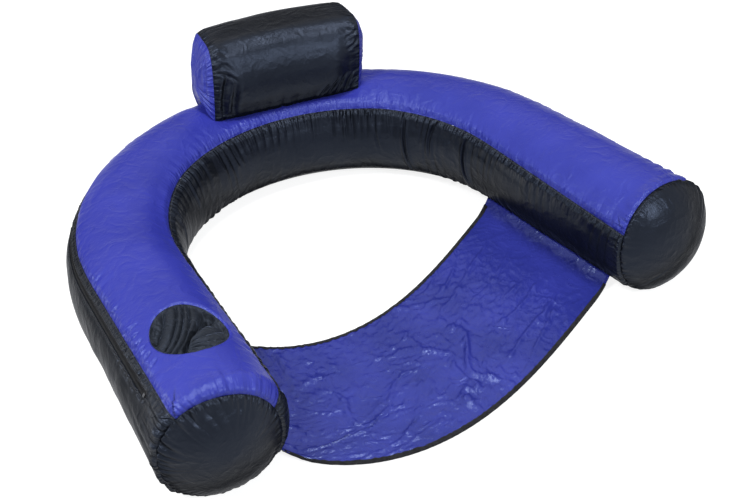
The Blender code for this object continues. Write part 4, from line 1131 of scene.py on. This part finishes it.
def stitch_line(points, normals, pitch, name):
    """A row of lockstitches: short threads along a line, each dipping into the cloth at its ends."""
    length = lengths_along(points)
    starts = np.arange(0.0, length[-1] - pitch, pitch)
    where = starts[:, None] + STITCH_PLACES * pitch
    ups = sampled(where, length, normals)
    spots = sampled(where, length, points) + ups * STITCH_HEIGHTS[:, None]
    sides = unit(np.cross(ups, np.gradient(spots, axis=1))) * STITCH_RADIUS
    tops = ups * STITCH_RADIUS * 0.9
    verts = np.stack([spots + sides, spots + tops, spots - sides, spots - tops], axis=2)
    index = np.arange(verts[..., 0].size).reshape(verts.shape[:3])
    after = np.roll(index, -1, axis=2)
    faces = np.stack([index[:, :-1], index[:, 1:], after[:, 1:], after[:, :-1]], -1).reshape(-1, 4)
    faces = np.concatenate([faces, index[:, 0, ::-1], index[:, -1, :]])
    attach(put_mesh(name, verts, faces, THREAD), "root")


ZIPPER_STITCH = 0.0034
SEAM_STITCH = 0.0036
STITCH_ROWS = 12
STITCH_RADIUS = 0.00035
# Shares of a stitch's pitch, and its thread's height over the cloth there
STITCH_PLACES = np.array([0.08, 0.3, 0.5, 0.7, 0.92])
STITCH_HEIGHTS = np.array([-0.0004, 0.8, 1.0, 0.8, -0.0004]) * 0.0003


def line_at(rows, normals, away):
    """The line at a distance from a grid's first row, with its outward normals."""
    depth = np.linalg.norm(np.diff(rows, axis=0), axis=-1).mean(axis=1).cumsum()
    at = np.interp(away, np.concatenate([[0.0], depth]), np.arange(len(rows)))
    low, share = int(at), at - int(at)
    line = rows[low] * (1 - share) + rows[low + 1] * share
    return line, outward_of(line, normals[low])


def outward_of(line, normals):
    """Turns normals away from the tube's centre line."""
    away = line - np.stack([*nearest_centre(line).T, np.full(len(line), TUBE_HEIGHT / 2)], -1)
    return normals * np.sign(dot(normals, away))


def nearest_centre(line):
    x, y = np.abs(line[:, 0]), line[:, 1] - BACK_Y
    index = np.argmin(np.hypot(x[:, None] - LINE_X[None], y[:, None] - LINE_Y[None]), axis=1)
    return np.stack([LINE_X[index] * np.where(line[:, 0] < 0, -1.0, 1.0), LINE_Y[index] + BACK_Y], -1)


def add_zipper_stitches(upper, lower):
    inside = (RUNS > -ZIPPER_FRONT_RUN - 0.004) & (RUNS < -ZIPPER_REAR_RUN + 0.002)
    for name, grid, step in (("zipper_upper_stitches", upper, -1), ("zipper_lower_stitches", lower, 1)):
        edge = len(grid) - 1 - LIP_ROWS if step < 0 else LIP_ROWS
        rows = np.arange(edge, edge + step * 8, step)
        for order, away in (("_a", 0.0013), ("_b", 0.0040)):
            line, up = line_at(grid[rows], grid_normals(grid)[rows], away)
            stitch_line(line[inside], up[inside], ZIPPER_STITCH, name + order)


def add_seam_stitches(rows, name, away):
    """A topstitch at a distance from the seam along a panel's first row."""
    stitch_line(*line_at(rows, grid_normals(rows), away), SEAM_STITCH, name)


def make_coil():
    """The nylon coil, one thread wound along the zipper, and the tapes' edges that meet beneath it."""
    runs = np.linspace(-ZIPPER_FRONT_RUN + COIL_INSET, -ZIPPER_REAR_RUN - COIL_INSET, 160)
    middle = skin_point(runs, zipper_middle(runs))
    length = lengths_along(middle)
    count = int(length[-1] / COIL_PITCH * COIL_STEPS)
    where = np.arange(count) * COIL_PITCH / COIL_STEPS
    tangent = sampled(where, length, centre_line(runs)[2])
    normal = sampled(where, length, skin_normal(runs, zipper_middle(runs)))
    turn = (np.arange(count) / COIL_STEPS * math.tau)[:, None]
    spots = sampled(where, length, middle) + np.cross(tangent, normal) * np.cos(turn) * COIL_HALF_WIDTH
    spots += normal * (COIL_HEIGHT + np.sin(turn) * COIL_RISE)
    run = unit(np.gradient(spots, axis=0))
    first = unit(np.cross(run, tangent))
    second = np.cross(run, first)
    ring = [spots + (first * math.cos(a) + second * math.sin(a)) * COIL_THREAD for a in THREAD_SIDES]
    coil = put_grid("zipper_coil_thread", np.stack(ring, axis=1), COIL, wrap=True)
    dress(coil, "root", "zipper_black", "zipper_coil")
    spread, angles = np.broadcast_arrays(runs[:, None], zipper_middle(runs)[:, None] + TAPE_SPREAD)
    lining = skin_point(spread, angles) + skin_normal(spread, angles) * TAPE_LIFT
    dress(put_grid("zipper_tape_edges", lining, TAPE), "root", "zipper_black")


COIL_PITCH = 0.0017
COIL_STEPS = 10
COIL_HALF_WIDTH = 0.00118
COIL_INSET = 0.003
COIL_HEIGHT = 0.0008
COIL_RISE = 0.00078
COIL_THREAD = 0.00034
THREAD_SIDES = (0.3, 1.87, 3.44, 5.01)
TAPE_SPREAD = np.array([-1.45, 0.0, 1.45])
TAPE_LIFT = 0.0003


# CAD nodes that stay, with better materials
KEPT = [
    (TAPE, ["zipper_upper_tape", "zipper_lower_tape"]),
    (METAL, ["zipper_slider", "zipper_pull_tab", "zipper_front_stop", "zipper_rear_stop"]),
    (FILM, ["main_bladder", "headrest_bladder"]),
    (VINYL, ["main_valve_body", "main_valve_flap", "main_valve_plug"]),
    (VINYL, ["headrest_valve_body", "headrest_valve_flap", "headrest_valve_plug"]),
]


def finish_kept_nodes():
    for material, names in KEPT:
        for name in names:
            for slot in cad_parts[name].material_slots:
                slot.material = material


# Stage, light and camera
def seen_ray(tree):
    """1 for rays from the camera, a reflection or a clear body, and 0 for the rest."""
    path = add_node(tree, "LightPath", {})
    bounced = combine(tree, "MAXIMUM", path.outputs["Is Glossy Ray"], path.outputs["Is Transmission Ray"])
    return combine(tree, "MAXIMUM", path.outputs["Is Camera Ray"], bounced)


def make_stage():
    bpy.ops.mesh.primitive_plane_add(size=FLOOR_SIZE, location=(0.0, 0.0, -FLOOR_GAP))
    floor = bpy.context.active_object
    floor.name = "floor"
    material, tree, shader = new_material("pale_floor")
    set_sockets(tree, shader, {"Base Color": FLOOR_GREY, "Roughness": 0.9})
    white = add_node(tree, "Emission", {"Color": WHITE, "Strength": FLOOR_GLOW}).outputs[0]
    own = shader.outputs[0]
    both = add_node(tree, "AddShader", {0: own, 1: white}).outputs[0]
    mixed = add_node(tree, "MixShader", {0: seen_ray(tree), 1: own, 2: both}).outputs[0]
    tree.links.new(mixed, tree.nodes["Material Output"].inputs["Surface"])
    floor.data.materials.append(material)


def make_world():
    world = bpy.data.worlds.new("studio")
    bpy.context.scene.world = world
    world.use_nodes = True
    tree = world.node_tree
    back = tree.nodes["Background"]
    set_sockets(tree, back, {"Color": SKY, "Strength": WORLD_STRENGTH})
    white = add_node(tree, "Background", {"Color": WHITE}).outputs[0]
    mixed = add_node(tree, "MixShader", {0: seen_ray(tree), 1: back.outputs[0], 2: white}).outputs[0]
    tree.links.new(mixed, tree.nodes["World Output"].inputs["Surface"])


WHITE = (1.0, 1.0, 1.0, 1.0)
FLOOR_GREY = (0.36, 0.36, 0.36, 1.0)
FLOOR_GLOW = 0.85
FLOOR_SIZE = 14.0
FLOOR_GAP = 0.0005
SKY = (0.92, 0.95, 1.0, 1.0)
WORLD_STRENGTH = 0.32
# Name, place, target, size in metres, watts and colour
LAMPS = [
    ("overhead", (0.1, -0.4, 2.7), (0.0, 0.1, 0.1), 0.8, 36.0, (1.0, 1.0, 1.0)),
    ("key_left", (-1.6, -0.2, 2.3), (0.0, 0.1, 0.1), 0.7, 36.0, (1.0, 1.0, 1.0)),
    ("front", (0.30, -2.5, 1.85), (0.0, 0.3, 0.2), 0.8, 38.0, (0.93, 0.96, 1.0)),
    ("sky_left", (-2.6, 1.3, 0.7), (-0.3, -0.1, 0.1), 1.0, 22.0, (0.86, 0.93, 1.0)),
]


def make_lamps():
    for name, place, target, size, power, colour in LAMPS:
        lamp = bpy.data.lights.new(name, "AREA")
        lamp.shape = "DISK"
        lamp.size = size
        lamp.energy = power
        lamp.color = colour
        made = place_object(name, lamp)
        made.location = place
        made.rotation_euler = (Vector(target) - Vector(place)).to_track_quat("-Z", "Y").to_euler()


def make_camera():
    yaw, pitch, roll = (math.radians(turn) for turn in (CAMERA_YAW, CAMERA_PITCH, CAMERA_ROLL))
    forward = Vector((math.sin(yaw) * math.cos(pitch), math.cos(yaw) * math.cos(pitch), -math.sin(pitch)))
    right = Vector((math.cos(yaw), -math.sin(yaw), 0.0))
    up = right.cross(forward)
    across = right * math.cos(roll) + up * math.sin(roll)
    above = up * math.cos(roll) - right * math.sin(roll)
    camera = bpy.data.cameras.new("camera")
    camera.sensor_width = SENSOR
    camera.lens = FOCAL_PIXELS * SENSOR / IMAGE_WIDTH
    camera.clip_start = 0.05
    made = place_object("camera", camera)
    turn = Matrix((across, above, -forward)).transposed().to_4x4()
    made.matrix_world = Matrix.Translation(CAMERA_PLACE) @ turn
    bpy.context.scene.camera = made


# The whole object
make_camera()
top_panel = make_panel("top_panel_cloth", inner_top, outer_top, top_relief, BLUE)[0]
cut_cup_hole(top_panel)
dress(top_panel, "root", "nylon_blue", "cover_top_panel")
inner_low = seam_at(INNER_LOW_SEAM)
inner_panel, inner_grid = make_panel("inner_panel_cloth", inner_low, inner_top, inner_relief, BLACK)
dress(inner_panel, "root", "nylon_black", "cover_inner_panel")
upper_grid, lower_grid = make_outer_panel()
under_seams = (seam_at(OUTER_LOW_SEAM), seam_at(INNER_LOW_SEAM + 360.0))
bottom_panel = make_panel("bottom_panel_cloth", *under_seams, bottom_relief, BLACK)[0]
dress(bottom_panel, "root", "nylon_black", "cover_bottom_panel")
make_cap("left_cap_cloth", "end_cap_left", -1)
make_cap("right_cap_cloth", "end_cap_right", 1)
make_headrest()
make_cup_pouch()
seat, seat_places, front_binding, rear_binding = make_seat()
add_zipper_stitches(upper_grid, lower_grid)
add_seam_stitches(inner_grid[:-STITCH_ROWS - 1:-1], "inner_seam_stitches", 0.0035)
add_seam_stitches(upper_grid[:STITCH_ROWS], "outer_seam_stitches", 0.0028)
make_coil()
finish_kept_nodes()
make_stage()
make_world()
make_lamps()

bpy.context.scene.view_settings.view_transform = "Standard"
